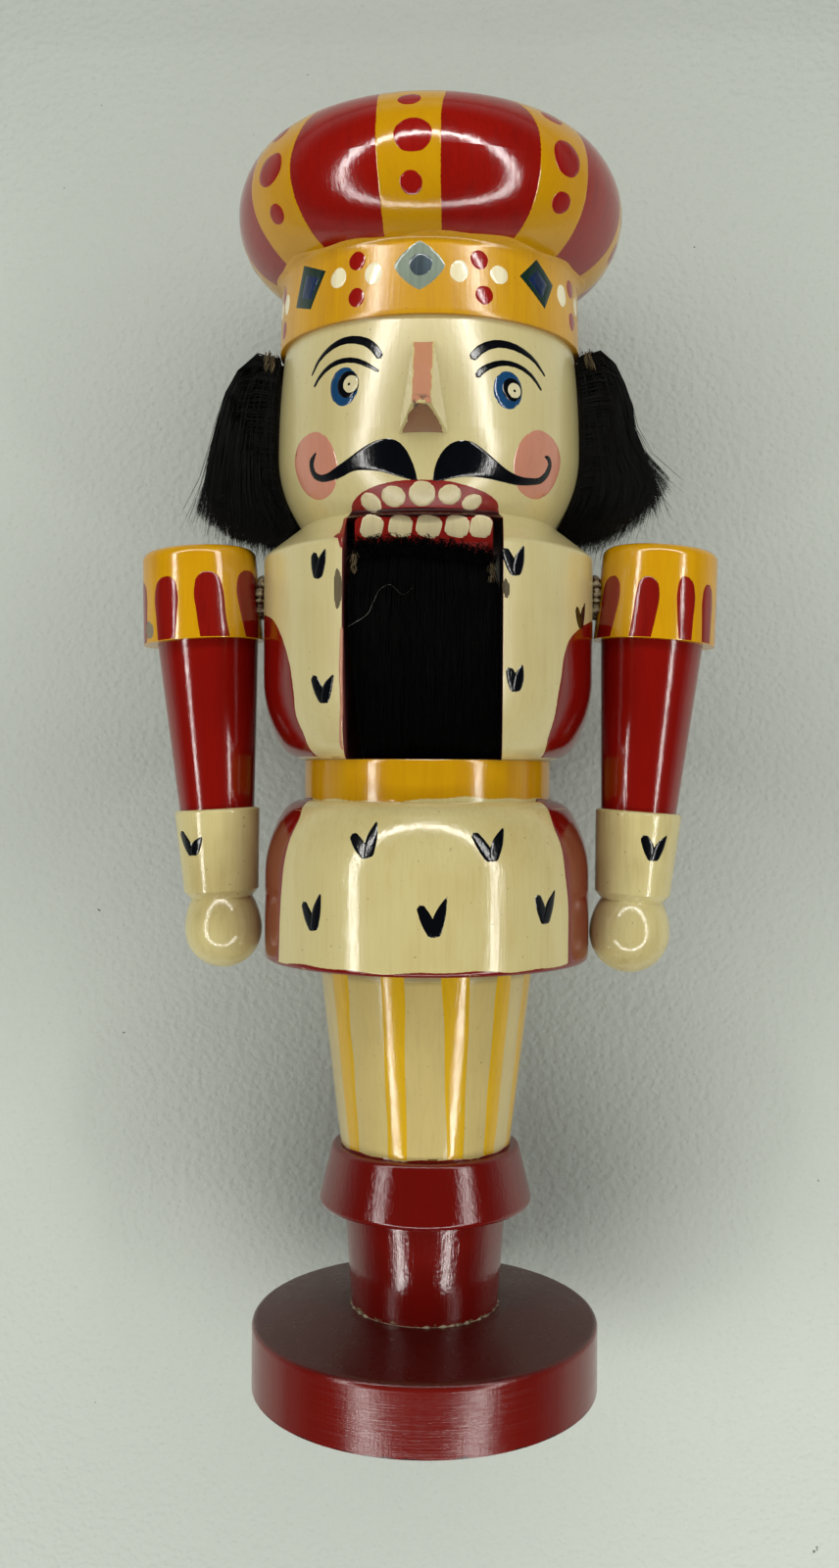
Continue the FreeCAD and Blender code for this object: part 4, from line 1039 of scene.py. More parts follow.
# Red dots on the stripes: shift in degrees, level, half width and half height
STRIPE_DOTS = [(-0.4, 286.6, 2.7, 2.2), (0.1, 277.2, 3.9, 3.7), (0.0, 268.0, 2.3, 2.3)]
FRONT_DOTS = [(0.2, 287.4, 2.7, 2.2), (1.5, 277.6, 3.9, 3.7), (1.3, 268.5, 2.3, 2.3)]
BAND_FOOT = 243.9
# Angle and level of each jewel, pearl and red dot of the band
JEWELS = [(-1.6, 254.0), (45.0, 253.4), (90.0, 253.6), (135.0, 253.8), (180.0, 253.4), (-135.0, 253.7),
          (-91.0, 253.5), (-47.2, 253.5)]
# Corners of a jewel as degrees and millimetres from its middle: top, right, foot and left, under the jewel's
# number, and under 0 for those that have none of their own
JEWEL_CORNERS = {0: [(0.5, 5.2), (8.5, 0.8), (-0.5, -5.2), (-8.5, -0.8)],
                 7: [(-4.6, 5.5), (8.4, 2.2), (0.6, -5.2), (-9.8, -3.2)],
                 1: [(-0.8, 5.2), (8.4, 0.8), (3.2, -5.2), (-9.0, 0.4)]}
PEARLS = [(12.4, 252.9), (27.3, 253.1), (59.9, 253.1), (75.8, 253.4), (104.6, 253.3), (120.4, 253.0),
          (150.2, 253.2), (165.3, 253.4), (-165.0, 253.3), (-149.8, 253.0), (-120.1, 253.2), (-104.9, 253.4),
          (-75.6, 253.0), (-67.1, 252.9), (-32.6, 253.3), (-18.2, 252.9)]
RUBIES = [(19.7, 255.8), (21.5, 248.2), (67.8, 256.0), (69.4, 248.8), (112.4, 256.1), (113.0, 248.6),
          (157.6, 255.9), (158.2, 248.4), (-157.2, 256.0), (-157.8, 248.6), (-112.6, 255.8), (-112.0, 248.3),
          (-69.9, 247.4), (-71.5, 255.8), (-24.7, 256.2), (-24.8, 248.2)]
# Share of a jewel that its heart takes
HEART_SHARE = 0.55
# Half width and half height of the front jewel, its disc, a pearl and a red dot
FRONT_JEWEL = (5.4, 5.4)
FRONT_DISC = (2.5, 2.4)
PEARL = (1.95, 2.25)
RUBY = (2.0, 2.05)


class NUTCRACKER_OT_crown(KingOperator, bpy.types.Operator):
    """Paints the crown's yellow stripes, their red dots and the jewelled band"""

    bl_idname = "nutcracker.crown"
    bl_label = "Crown ornament"

    def execute(self, context):
        king = self.paint(context)
        coat = self.sizes(context).coat
        mark = self.sizes(context).mark
        skin = Turned("crown", low=243.0, high=298.5)
        noise = np.random.default_rng(7)
        # The stripes' gold is the gold darkened to 0.88: painted shade on the crown's upturned top
        gold = ornament("crown_gold_shaded", toned(king.gold, 0.88), king.gold_shade, freckles=0.25, streaks=0.2)
        red = ornament("crown_dot_red", srgb(146, 18, 12), srgb(122, 12, 8), freckles=0.1)
        stripes = Paint(skin, coat)
        dots = Paint(skin, mark)
        for angle, breadth in CROWN_STRIPES:
            wide = breadth / FRONT_BREADTH * np.interp(STRIPE_LEVELS, *STRIPE_WIDTHS)
            half = np.degrees(np.arcsin(np.minimum(wide / skin.radius_at(STRIPE_LEVELS), WIDEST_SHARE)))
            sway = noise.normal(0.0, 0.35, (2, len(STRIPE_LEVELS)))
            stripes.between(np.column_stack([angle - half + sway[0], STRIPE_LEVELS]),
                            np.column_stack([angle + half + sway[1], STRIPE_LEVELS]))
            for shift, level, half_width, half_height in FRONT_DOTS if abs(angle) < 5.0 else STRIPE_DOTS:
                jitter = noise.normal(0.0, 1.0, 4)
                dots.spot(angle + shift + 0.3 * jitter[0], level + 0.4 * jitter[1],
                          half_width * (1 + 0.06 * jitter[2]), half_height * (1 + 0.06 * jitter[3]),
                          power=2.2, dome=MARK_DOME, ragged=0.05, seed=int(level * 10 + angle))
        stripes.build("crown_stripes", gold, "gold_enamel")
        dots.build("crown_dots", red, "crown_enamel")
        band = Paint(skin, coat)
        turn = np.linspace(0.0, 360.0, 49)
        wave = wavering(turn, (0.25, 5, 0.0), (0.2, 13, 1.0))
        band.hoop(turn, BAND_FOOT, BAND_TOP + 0.6 + wave, lift=0.02)
        scuffed = ornament("band_gold", king.gold, king.gold_shade, freckles=0.3, streaks=0.3, gloss=0.22,
                           shine=0.9)
        band.build("crown_band", scuffed, "gold_enamel")
        self.jewels(king, skin, mark, red)
        return {"FINISHED"}

    def jewels(self, king, skin, mark, red):
        """Eight painted jewels, pearls in ones and red dots in pairs."""
        edge, heart, pearls, rubies, front, disc = (Paint(skin, mark) for _ in range(6))
        (angle, level), *others = JEWELS
        front.spot(angle, level, *FRONT_JEWEL, power=1.3, dome=MARK_DOME, steps=15, ragged=0.02, seed=3)
        disc.spot(angle + 0.4, level + 0.2, *FRONT_DISC, lift=0.02, dome=0.03, ragged=0.05, seed=4)
        for number, middle in enumerate(others, 1):
            corners = np.array(JEWEL_CORNERS.get(number, JEWEL_CORNERS[0]))
            top, right, foot, left = middle + corners
            edge.between([left, top], [foot, right])
            top, right, foot, left = middle + HEART_SHARE * corners
            heart.between([left, top], [foot, right], lift=0.03)
        for number, (angle, level) in enumerate(PEARLS):
            pearls.spot(angle, level, PEARL[0] + 0.15 * math.sin(number),
                        PEARL[1] + 0.2 * math.cos(number * 3), dome=0.07, ragged=0.06, seed=number + 40)
        for number, (angle, level) in enumerate(RUBIES):
            rubies.spot(angle, level, *RUBY, dome=0.06, ragged=0.05, seed=number + 60)
        edge.build("jewel_edges", ornament("jewel_edge_green", king.jewel_green,
                                           toned(king.jewel_green, 0.5)), "crown_enamel")
        front.build("front_jewel", ornament("jewel_grey", king.jewel_grey, toned(king.jewel_grey, 0.5),
                                            streaks=0.3), "crown_enamel")
        heart.build("jewel_hearts", ornament("jewel_dark_blue", king.jewel_dark, toned(king.jewel_dark, 0.5),
                                             streaks=0.8), "crown_enamel")
        disc.build("front_jewel_disc", ornament("jewel_blue", king.jewel_blue, toned(king.jewel_blue, 0.45),
                                                streaks=0.9), "crown_enamel")
        pearls.build("band_pearls", ornament("pearl_white", srgb(236, 230, 196), srgb(214, 200, 152)),
                     "cream_enamel")
        rubies.build("band_rubies", red, "crown_enamel")


# Face, as sideways place and level with widths
LEFT_BROW = ([(-25.3, 233.5), (-23.8, 236.1), (-21.5, 238.1), (-18.1, 239.4), (-14.5, 239.1), (-11.8, 237.8),
              (-10.2, 236.0), (-9.3, 234.5)], [0.25, 0.55, 0.9, 1.25, 1.45, 1.5, 1.45, 1.2])
RIGHT_BROW = ([(26.5, 233.4), (24.1, 236.1), (21.4, 237.6), (18.4, 238.3), (15.4, 238.1), (12.5, 236.7),
               (10.2, 234.3)], [0.25, 0.7, 1.1, 1.35, 1.45, 1.6, 1.5])
LEFT_LID = ([(-24.7, 230.7), (-23.3, 232.6), (-21.2, 234.2), (-18.0, 235.0), (-14.8, 234.5), (-12.2, 233.2),
             (-9.8, 231.6)], [0.35, 0.6, 0.8, 0.85, 0.8, 0.6, 0.2])
RIGHT_LID = ([(25.7, 229.9), (23.6, 232.4), (20.8, 233.9), (17.1, 234.1), (14.2, 233.0), (12.3, 231.6),
              (11.4, 230.4)], [0.3, 0.6, 0.75, 0.9, 1.0, 1.1, 1.0])
# Eyes: blue, black, white and dark point, each sideways place, level, half width, half height and lean
EYES = [((-17.6, 229.2, 3.5, 4.1, 8.0), (-16.7, 229.5, 2.65, 2.9, 8.0), (-16.0, 229.5, 1.85, 1.85, 0.0),
         (-16.3, 229.5, 0.32, 0.32, 0.0)),
        ((18.3, 228.3, 3.45, 4.0, -8.0), (19.15, 228.5, 2.5, 2.5, -8.0), (19.6, 228.4, 1.65, 1.6, 0.0),
         (19.6, 228.3, 0.3, 0.3, 0.0))]
# Cheeks: angle, level, half width, half height and lean
CHEEKS = [(-45.3, 213.1, 7.2, 7.2, 14.0), (46.6, 213.3, 7.4, 7.3, -14.0)]
# Moustache halves, each an upper and a lower edge, as angle and level from the inner end to the curl
LEFT_MOUSTACHE = ([(-2.3, 208.5), (-3.9, 211.5), (-6.2, 214.3), (-8.6, 215.9), (-11.6, 216.7), (-15.5, 216.6),
                   (-19.9, 215.8), (-23.8, 214.7), (-28.1, 213.4), (-33.6, 212.1), (-38.8, 211.1),
                   (-42.4, 211.1), (-44.7, 212.0), (-44.8, 213.7), (-42.7, 215.7)],
                  [(-2.3, 208.3), (-3.4, 208.3), (-5.2, 208.5), (-7.0, 208.8), (-11.2, 209.5), (-15.5, 210.3),
                   (-20.7, 210.8), (-26.3, 210.9), (-31.8, 210.0), (-37.7, 209.5), (-42.8, 209.7),
                   (-46.2, 210.7), (-47.4, 212.5), (-46.7, 214.5), (-42.9, 215.9)])
RIGHT_MOUSTACHE = ([(3.6, 208.5), (4.7, 211.3), (6.7, 213.7), (9.7, 215.5), (13.4, 216.3), (17.2, 216.1),
                    (21.6, 214.7), (26.4, 212.9), (31.7, 211.2), (37.3, 210.3), (43.1, 210.3), (47.5, 210.8),
                    (50.4, 212.6), (51.0, 214.3), (48.6, 215.3)],
                   [(3.7, 208.2), (5.2, 208.1), (7.0, 208.3), (10.9, 208.8), (15.9, 209.2), (22.7, 209.2),
                    (30.1, 208.8), (37.3, 208.5), (44.0, 208.9), (50.3, 210.1), (52.6, 211.9), (53.0, 214.1),
                    (51.5, 215.4), (50.2, 215.7), (48.7, 215.5)])


class NUTCRACKER_OT_face(KingOperator, bpy.types.Operator):
    """Paints brows, lids, eyes, cheeks and moustache on the head"""

    bl_idname = "nutcracker.face"
    bl_label = "Face"

    def execute(self, context):
        king = self.paint(context)
        mark = self.sizes(context).mark
        skin = Turned("head_and_torso", HEAD_FOOT - 1.0, HEAD_TOP)
        ink = ink_paint(king)
        lines = Paint(skin, mark)
        for places, widths in (LEFT_BROW, RIGHT_BROW, LEFT_LID, RIGHT_LID):
            lines.stroke(skin.from_front(places), widths, dome=MARK_DOME)
        lines.build("brows_and_lids", ink, "cream_enamel")
        moustache = Paint(skin, mark)
        for upper, lower in (LEFT_MOUSTACHE, RIGHT_MOUSTACHE):
            moustache.between(upper, lower)
        moustache.build("moustache", ink, "cream_enamel")
        cheeks = Paint(skin, self.sizes(context).coat)
        for seed, (angle, level, half_width, half_height, lean) in enumerate(CHEEKS, 1):
            cheeks.spot(angle, level, half_width, half_height, power=2.2, lean=lean, steps=15, ragged=0.02,
                        seed=seed)
        cheeks.build("cheeks", ornament("cheek_pink", king.cheek, toned(king.cheek, 0.85), streaks=0.3),
                     "cream_enamel")
        # Each layer of an eye: name, paint, lift off the skin and further height of its middle
        layers = [("eye_irises", ornament("eye_blue", king.eye_blue, toned(king.eye_blue, 0.6)), 0.0, 0.02),
                  ("eye_pupils", ink, 0.03, 0.02),
                  ("eye_lights", ornament("eye_white", srgb(214, 206, 168), srgb(196, 184, 140)), 0.06, 0.05),
                  ("eye_points", ink, 0.13, 0.01)]
        for number, (name, material, lift, dome) in enumerate(layers):
            layer = Paint(skin, mark)
            for eye in EYES:
                x, level, half_width, half_height, lean = eye[number]
                layer.spot(skin.facing(x, level), level, half_width, half_height, power=2.1, lean=lean,
                           lift=lift, dome=dome, steps=11, ragged=0.02, seed=number)
            layer.build(name, material, "cream_enamel")
        return {"FINISHED"}


# Edges of the lip, as sideways place and level
LIP_TOP = [(-17.2, 201.6), (-16.0, 203.9), (-13.6, 206.1), (-10.1, 207.3), (-6.7, 207.9), (-3.3, 208.1),
           (0.9, 208.1), (5.5, 207.9), (9.7, 207.1), (13.5, 206.0), (16.1, 204.2), (17.2, 201.6)]
LIP_FOOT = [(-17.2, 201.5), (-16.4, 202.4), (-12.0, 202.7), (-6.0, 202.8), (0.0, 202.8), (6.0, 202.7),
            (12.0, 202.6), (16.4, 202.3), (17.2, 201.5)]
# Height over the slot's ceiling of the foot of the near-black band under the lip, painted shadow of the gap
# above the jaw
LIP_SHADOW_FOOT = 0.15
# Teeth: sideways place, level, half width, half height and lean
UPPER_TEETH = [(-11.6, 204.1, 2.05, 2.45, 38.0), (-6.6, 205.1, 2.55, 2.3, -14.0),
               (-0.3, 205.5, 2.75, 2.75, 0.0), (5.7, 205.4, 2.3, 2.2, 0.0), (10.5, 204.1, 2.15, 1.75, 24.0)]
LOWER_TEETH = [(-11.4, 198.8, 2.3, 2.35, -12.0), (-5.1, 198.9, 2.45, 2.25, -10.0),
               (1.1, 198.9, 2.6, 2.3, -14.0), (7.3, 198.9, 2.45, 2.25, -12.0),
               (12.5, 198.8, 2.25, 2.2, -10.0)]


class NUTCRACKER_OT_mouth(KingOperator, bpy.types.Operator):
    """Paints the red lip and both rows of teeth"""

    bl_idname = "nutcracker.mouth"
    bl_label = "Mouth"

    def execute(self, context):
        king = self.paint(context)
        mark = self.sizes(context).mark
        skin = Turned("head_and_torso", 198.0, HEAD_TOP)
        coat = self.sizes(context).coat
        top = skin.from_front(LIP_TOP)
        foot = skin.from_front(LIP_FOOT)
        lip = Paint(skin, coat)
        lip.between(top, foot)
        lip.build("upper_lip", lip_paint(king), "cream_enamel")
        # A near-black band from the lip's foot down to the slot: painted shadow of the gap between lip and jaw
        rim = Paint(skin, coat)
        rim.between(foot, [(angle, SLOT_CEILING + LIP_SHADOW_FOOT) for angle, level in foot])
        rim.build("lip_shadow_band", ornament("painted_slot_shadow", toned(king.slot_red, 0.14), toned(king.slot_red, 0.05),
                                      gloss=0.4, shine=0.3), "cream_enamel")
        tooth = ornament("tooth_ivory", king.tooth, toned(king.tooth, 0.8), freckles=1.0, gloss=0.28,
                         shine=0.6)
        upper = Paint(skin, mark)
        for number, (x, level, half_width, half_height, lean) in enumerate(UPPER_TEETH):
            upper.spot(skin.facing(x, level), level, half_width, half_height, power=2.2, lean=lean, lift=0.03,
                       dome=0.06, steps=11, ragged=0.03, seed=number)
        upper.build("upper_teeth", tooth, "cream_enamel")
        lower = Paint(Flat(JAW_FRONT), mark)
        for number, (x, level, half_width, half_height, lean) in enumerate(LOWER_TEETH):
            lower.spot(x, level, half_width, half_height, power=3.6, lean=lean, dome=0.06, steps=13,
                       ragged=0.03, seed=number + 9)
        lower.build("lower_teeth", tooth, "jaw_paint", "lever")
        return {"FINISHED"}


# Ermine tails, as sideways place and level of the left end, the foot and the right end
SKIRT_TAILS = [((-15.0, 131.6), (-11.4, 126.7), (-9.7, 134.2)), ((11.3, 132.0), (15.3, 126.1), (17.6, 132.9)),
               ((-26.2, 116.3), (-23.7, 110.3), (-22.1, 118.3)), ((-0.1, 116.6), (3.1, 110.0), (5.5, 118.1)),
               ((25.2, 118.3), (27.1, 112.0), (29.2, 119.0))]
CAPE_TAILS = [((-24.0, 192.9), (-23.0, 187.2), (-21.3, 193.3)),
              ((-24.0, 166.0), (-21.5, 160.1), (-19.3, 165.9)),
              ((17.5, 193.1), (20.1, 187.6), (21.7, 193.9)), ((18.6, 167.5), (20.2, 162.6), (21.6, 168.2)),
              ((34.1, 182.4), (35.3, 178.0), (36.3, 183.8))]
# Tails on the back, as angle and level of the middle
BACK_TAILS = [(-112.0, 188.5), (-141.0, 190.5), (-168.0, 187.0), (166.0, 189.5), (138.0, 187.5),
              (110.0, 190.0)]
# Marks by the slot: bare chips and a dab of red as sideways place, level, half width and half height, and
# lines along its edge as places and widths
SLOT_CHIPS = [(-18.3, 184.6, 0.85, 4.0), (18.0, 184.6, 0.6, 1.9)]
RED_DAB = (-18.4, 196.3, 0.75, 1.0)
RED_EDGE = ([(-17.5, 201.4), (-17.6, 199.0), (-17.8, 196.2), (-17.5, 193.5)], [0.5, 0.4, 0.7, 0.2])
WORN_EDGE = ([(-17.5, 176.0), (-17.6, 168.0), (-17.5, 160.0), (-17.7, 150.0)], [0.2, 0.35, 0.25, 0.45])
# Edges of the red, as angle and level from the foot up
SKIRT_LEFT = [(-58.5, 101.3), (-58.1, 106.0), (-56.9, 116.6), (-55.3, 123.5), (-54.5, 129.9), (-53.6, 134.8),
              (-57.0, 137.4), (-63.6, 139.0)]
SKIRT_RIGHT = [(57.8, 101.3), (57.9, 106.0), (57.5, 117.1), (55.8, 122.1), (55.5, 128.9), (54.7, 133.3),
               (56.5, 136.6), (60.7, 139.0)]
ROBE_LEFT = [(-50.2, 148.6), (-48.5, 153.5), (-49.5, 157.4), (-48.4, 162.2), (-49.5, 167.7), (-51.7, 171.3),
             (-56.3, 176.1), (-61.8, 179.3), (-74.0, 181.6)]
ROBE_RIGHT = [(57.0, 148.6), (51.4, 152.4), (50.8, 157.6), (50.5, 162.8), (51.7, 167.3), (53.2, 171.5),
              (56.1, 174.8), (62.8, 177.6), (77.0, 180.4)]
# Foot and top of the red line at the skirt's hem, and the foot of the belt
HEM = (101.22, 102.1)
BELT_FOOT = 139.3


class NUTCRACKER_OT_robe(KingOperator, bpy.types.Operator):
    """Paints the red of the robe and skirt, the yellow belt and the ermine tails"""

    bl_idname = "nutcracker.robe"
    bl_label = "Robe"

    def execute(self, context):
        king = self.paint(context)
        coat = self.sizes(context).coat
        mark = self.sizes(context).mark
        skirt = Turned("waist_and_skirt", 101.0, WAIST_TOP)
        torso = Turned("head_and_torso", WAIST_TOP, 202.0)
        red = ornament("robe_red", toned(king.robe_red, 0.85), toned(king.robe_red, 0.6), streaks=0.3)
        skirt_red = Paint(skirt, coat)
        skirt_red.between(SKIRT_RIGHT, [(360.0 + a, level) for a, level in SKIRT_LEFT])
        turn = np.linspace(0.0, 360.0, 61)
        wave = wavering(turn, (0.22, 7, 0.0), (0.18, 17, 2.0))
        foot, top = HEM
        skirt_red.hoop(turn, foot, top + wave, lift=0.01)
        skirt_red.build("skirt_red", red, "coat_enamel")
        robe = Paint(torso, coat)
        robe.between(ROBE_RIGHT, [(360.0 + a, level) for a, level in ROBE_LEFT])
        robe.build("robe_red", red, "coat_enamel")
        belt = Paint(skirt, coat)
        belt.hoop(turn, BELT_FOOT + wavering(turn, (0.45, 3, 0.0)) + wave, WAIST_TOP - 0.15, lift=0.03)
        belt.build("belt_gold", ornament("belt_gold", toned(king.gold, 0.88), king.gold_shade, freckles=0.3,
                                         streaks=0.3), "gold_enamel")
        ink = ink_paint(king)
        for name, skin, tails in (("skirt_tails", skirt, SKIRT_TAILS), ("cape_tails", torso, CAPE_TAILS)):
            marks = Paint(skin, mark)
            for tail in tails:
                marks.tail_mark(*skin.from_front(tail))
            if skin is torso:
                for angle, level in BACK_TAILS:
                    marks.tail_mark((angle - 3.6, level + 3.0), (angle, level - 3.0),
                                    (angle + 3.0, level + 3.6))
            marks.build(name, ink, "cream_enamel")
        self.slot_edges(king, torso, mark)
        return {"FINISHED"}

    def slot_edges(self, king, torso, mark):
        """Chips, a dab of red and worn lines along the front edges of the mouth slot."""
        chips = Paint(torso, mark)
        for x, level, half_width, half_height in SLOT_CHIPS:
            chips.spot(torso.facing(x, level), level, half_width, half_height, power=2.6, steps=13,
                       ragged=0.12, seed=int(level + x))
        chips.build("slot_chips", ornament("chipped_wood", srgb(98, 86, 58), srgb(64, 54, 36), freckles=0.4,
                                           streaks=0.5, gloss=0.45, shine=0.3), "bare_wood")
        red = Paint(torso, mark)
        x, level, half_width, half_height = RED_DAB
        red.spot(torso.facing(x, level), level, half_width, half_height, lean=20.0, dome=0.03, ragged=0.12,
                 seed=5)
        red.stroke(torso.from_front(RED_EDGE[0]), RED_EDGE[1])
        red.build("slot_red_marks", lip_paint(king), "coat_enamel")
        worn = Paint(torso, mark)
        worn.stroke(torso.from_front(WORN_EDGE[0]), WORN_EDGE[1])
        worn.build("slot_worn_edge", ornament("worn_pink", srgb(196, 146, 118), srgb(150, 80, 64)),
                   "cream_enamel")


# Shoulder cap strokes: angle and level of the top, both edges' angles at the widest and then at the foot
RIGHT_ARM_STROKES = [(-69.3, 14.5, -82.0, -56.7, -80.0, -59.0), (-24.7, 14.6, -39.5, -13.5, -37.0, -17.6),
                     (17.2, 15.1, 4.7, 30.6, 8.0, 34.7), (64.9, 15.8, 48.2, 81.9, 54.4, 73.0),
                     (112.0, 14.8, 99.0, 125.0, 102.0, 121.0), (158.0, 14.4, 145.0, 171.0, 149.0, 168.0),
                     (204.0, 15.0, 191.0, 217.0, 195.0, 213.0), (249.0, 14.7, 236.0, 262.0, 239.0, 258.0)]
LEFT_ARM_STROKES = [(-55.7, 14.2, -70.7, -45.5, -74.0, -52.0), (-16.8, 13.8, -25.9, -5.4, -29.8, -10.0),
                    (19.1, 14.4, 12.9, 30.4, 17.1, 29.3), (49.9, 13.5, 42.0, 58.0, 43.6, 56.8),
                    (92.0, 14.6, 80.0, 104.0, 83.0, 101.0), (136.0, 14.2, 124.0, 149.0, 127.0, 146.0),
                    (182.0, 14.8, 170.0, 195.0, 173.0, 191.0), (228.0, 14.3, 216.0, 240.0, 219.0, 237.0),
                    (266.0, 14.6, 255.0, 277.0, 258.0, 274.0)]
# A chip at the foot of the right cap: angle, level, half width and half height
CAP_CHIP = (-52.0, 2.9, 1.7, 1.9)
# Tails on the cuffs, as angle and level of the left end, the foot and the right end
RIGHT_CUFF_TAIL = ((-51.8, -44.9), (-31.1, -50.5), (-13.8, -46.5))
LEFT_CUFF_TAIL = ((2.9, -45.4), (20.3, -51.0), (37.8, -45.2))


class NUTCRACKER_OT_arms(KingOperator, bpy.types.Operator):
    """Paints the red strokes of the shoulder caps and the tails on the cuffs"""

    bl_idname = "nutcracker.arms"
    bl_label = "Arms"

    def execute(self, context):
        king = self.paint(context)
        coat = self.sizes(context).coat
        mark = self.sizes(context).mark
        red = ornament("cap_stroke_red", srgb(132, 18, 10), srgb(108, 12, 7), freckles=0.15, streaks=0.5)
        ink = ink_paint(king)
        for side, name, table, tail in ((1, "left", LEFT_ARM_STROKES, LEFT_CUFF_TAIL),
                                        (-1, "right", RIGHT_ARM_STROKES, RIGHT_CUFF_TAIL)):
            strokes = Paint(cap_skin(side), coat)
            for angle, top, left, right, left_foot, right_foot in table:
                strokes.between(self.edge(angle, top, left, left_foot),
                                self.edge(angle, top, right, right_foot))
            strokes.build(name + "_cap_strokes", red, "coat_enamel")
            if side < 0:
                chip = Paint(cap_skin(side), mark)
                chip.spot(*CAP_CHIP, power=2.4, steps=13, ragged=0.10, seed=8)
                primer = ornament("chipped_primer", srgb(132, 124, 104), srgb(104, 92, 70), freckles=0.4,
                                  streaks=0.5, gloss=0.45, shine=0.3)
                chip.build("right_cap_chip", primer, "gold_enamel")
            cuff = Paint(hand_skin(side), mark)
            cuff.tail_mark(*tail)
            cuff.tail_mark(*[(a + 180.0, level - 0.6) for a, level in tail])
            cuff.build(name + "_cuff_tails", ink, "cream_enamel")
        return {"FINISHED"}

    def edge(self, angle, top, wide, foot):
        """One edge of a stroke, from its foot out to its widest place and in towards its rounded top."""
        return [(foot, 0.25), (wide * 0.6 + foot * 0.4, 5.0), (wide, top - 3.4),
                (wide * 0.75 + angle * 0.25, top - 0.9), (wide * 0.35 + angle * 0.65, top)]


# Trouser stripes: left and right edge in degrees at the top, then at the foot
TROUSER_STRIPES = [(-56.9, -43.3, -58.0, -46.7), (-21.1, -9.3, -21.9, -9.7), (10.1, 24.1, 16.4, 26.5),
                   (41.8, 51.4, 43.1, 52.9), (66.0, 78.0, 69.5, 80.0), (98.0, 110.0, 100.0, 111.0),
                   (131.0, 143.0, 132.0, 142.0), (164.0, 176.0, 166.0, 176.0),
                   (-164.0, -152.0, -163.0, -152.5), (-130.0, -118.0, -128.5, -118.0),
                   (-96.0, -84.0, -94.0, -83.5)]
# Levels of the stripes' tops and feet
STRIPE_ENDS = (100.9, 57.6)
# Foot and top of the red edge round the boots' top
BOOT_EDGE = (57.05, 57.3)


class NUTCRACKER_OT_legs(KingOperator, bpy.types.Operator):
    """Paints the trousers' yellow stripes and the boots' wavering red edge"""

    bl_idname = "nutcracker.legs"
    bl_label = "Legs"

    def execute(self, context):
        king = self.paint(context)
        coat = self.sizes(context).coat
        skin = Turned("trousers", BOOTS_TOP, SKIRT_FOOT)
        stripes = Paint(skin, coat)
        noise = np.random.default_rng(11)
        levels = np.linspace(*STRIPE_ENDS, 7)
        share = np.linspace(0.0, 1.0, 7)
        for top_left, top_right, foot_left, foot_right in TROUSER_STRIPES:
            sway = noise.normal(0.0, 0.35, (2, len(levels)))
            near = top_left + (foot_left - top_left) * share + sway[0]
            far = top_right + (foot_right - top_right) * share + sway[1]
            stripes.between(np.column_stack([near, levels]), np.column_stack([far, levels]))
        gold = ornament("stripe_gold", king.stripe_gold, toned(king.stripe_gold, 0.8), freckles=0.3)
        stripes.build("trouser_stripes", gold, "gold_enamel")
        edge = Paint(skin, coat)
        turn = np.linspace(0.0, 360.0, 61)
        wave = wavering(turn, (0.35, 6, 0.5), (0.3, 15, 2.0))
        foot, top = BOOT_EDGE
        edge.hoop(turn, foot, top + 0.5 * wave, lift=0.02)
        edge.build("boot_top_edge", ornament("boot_edge_red", king.base_red, king.boot_red), "boot_enamel")
        return {"FINISHED"}


# Hair: thickness outside the hide at each level, on the figure's left and on its right
HAIR_LEVELS = [200.0, 207.6, 212.6, 219.0, 225.2, 231.4, 236.7, 240.7, 243.5, 246.0]
HAIR_LEFT = [14.0, 18.8, 19.8, 14.0, 11.3, 10.6, 8.8, 6.9, 4.6, 1.4]
HAIR_RIGHT = [16.0, 17.6, 15.6, 14.8, 13.3, 12.1, 9.8, 7.5, 5.0, 1.4]
HAIR_START = 80.0
HAIR_END = 280.0
# Parts of the hair: name, first and last angle, and share of the strands; the middle one, where the handle
# swings out, is not put on the figure's body
HAIR_PARTS = [("hair_left", HAIR_START, 130.0, 1.0), ("hair_back_left", 130.0, 151.0, 0.24),
              ("hair_back", 151.0, 209.0, 0.62), ("hair_back_right", 209.0, 230.0, 0.24),
              ("hair_right", 230.0, HAIR_END, 1.0)]
HAIR_STEPS = 9
ROOT_HAIRS = 60
# Where the change from the left side's thickness to the right side's starts, and how many degrees it takes
CHANGE_START = 110.0
CHANGE_SPAN = 140.0
# Levels of the lowest root and the lowest foot, how much higher the outermost foot is on the figure's left,
# and how much less of that there is on its right
LOWEST_ROOT = 206.5
LOWEST_FOOT = 200.2
HEM_RISE = 10.5
HEM_LOSS = 4.5
# Degrees between locks and those taken by the fringe at a front edge, and the shares of the strands that are
# rooted in the fringe, lie inside the fur and stand off it
LOCK_SPACING = 4.2
FRINGE = 7.0
FRINGE_SHARE = 0.30
INNER_SHARE = 0.42
LOOSE_SHARE = 0.10
# The lining's outline: levels and distances outside the hide, and the number of places round the head
LINING_LEVELS = np.array([204.5, 204.0, 213.9, 225.0, 236.0, 241.5, 242.0, 222.0])
LINING_OUT = np.array([0.2, 9.5, 12.6, 10.2, 6.8, 2.6, 0.2, 0.0])
LINING_STEPS = 90


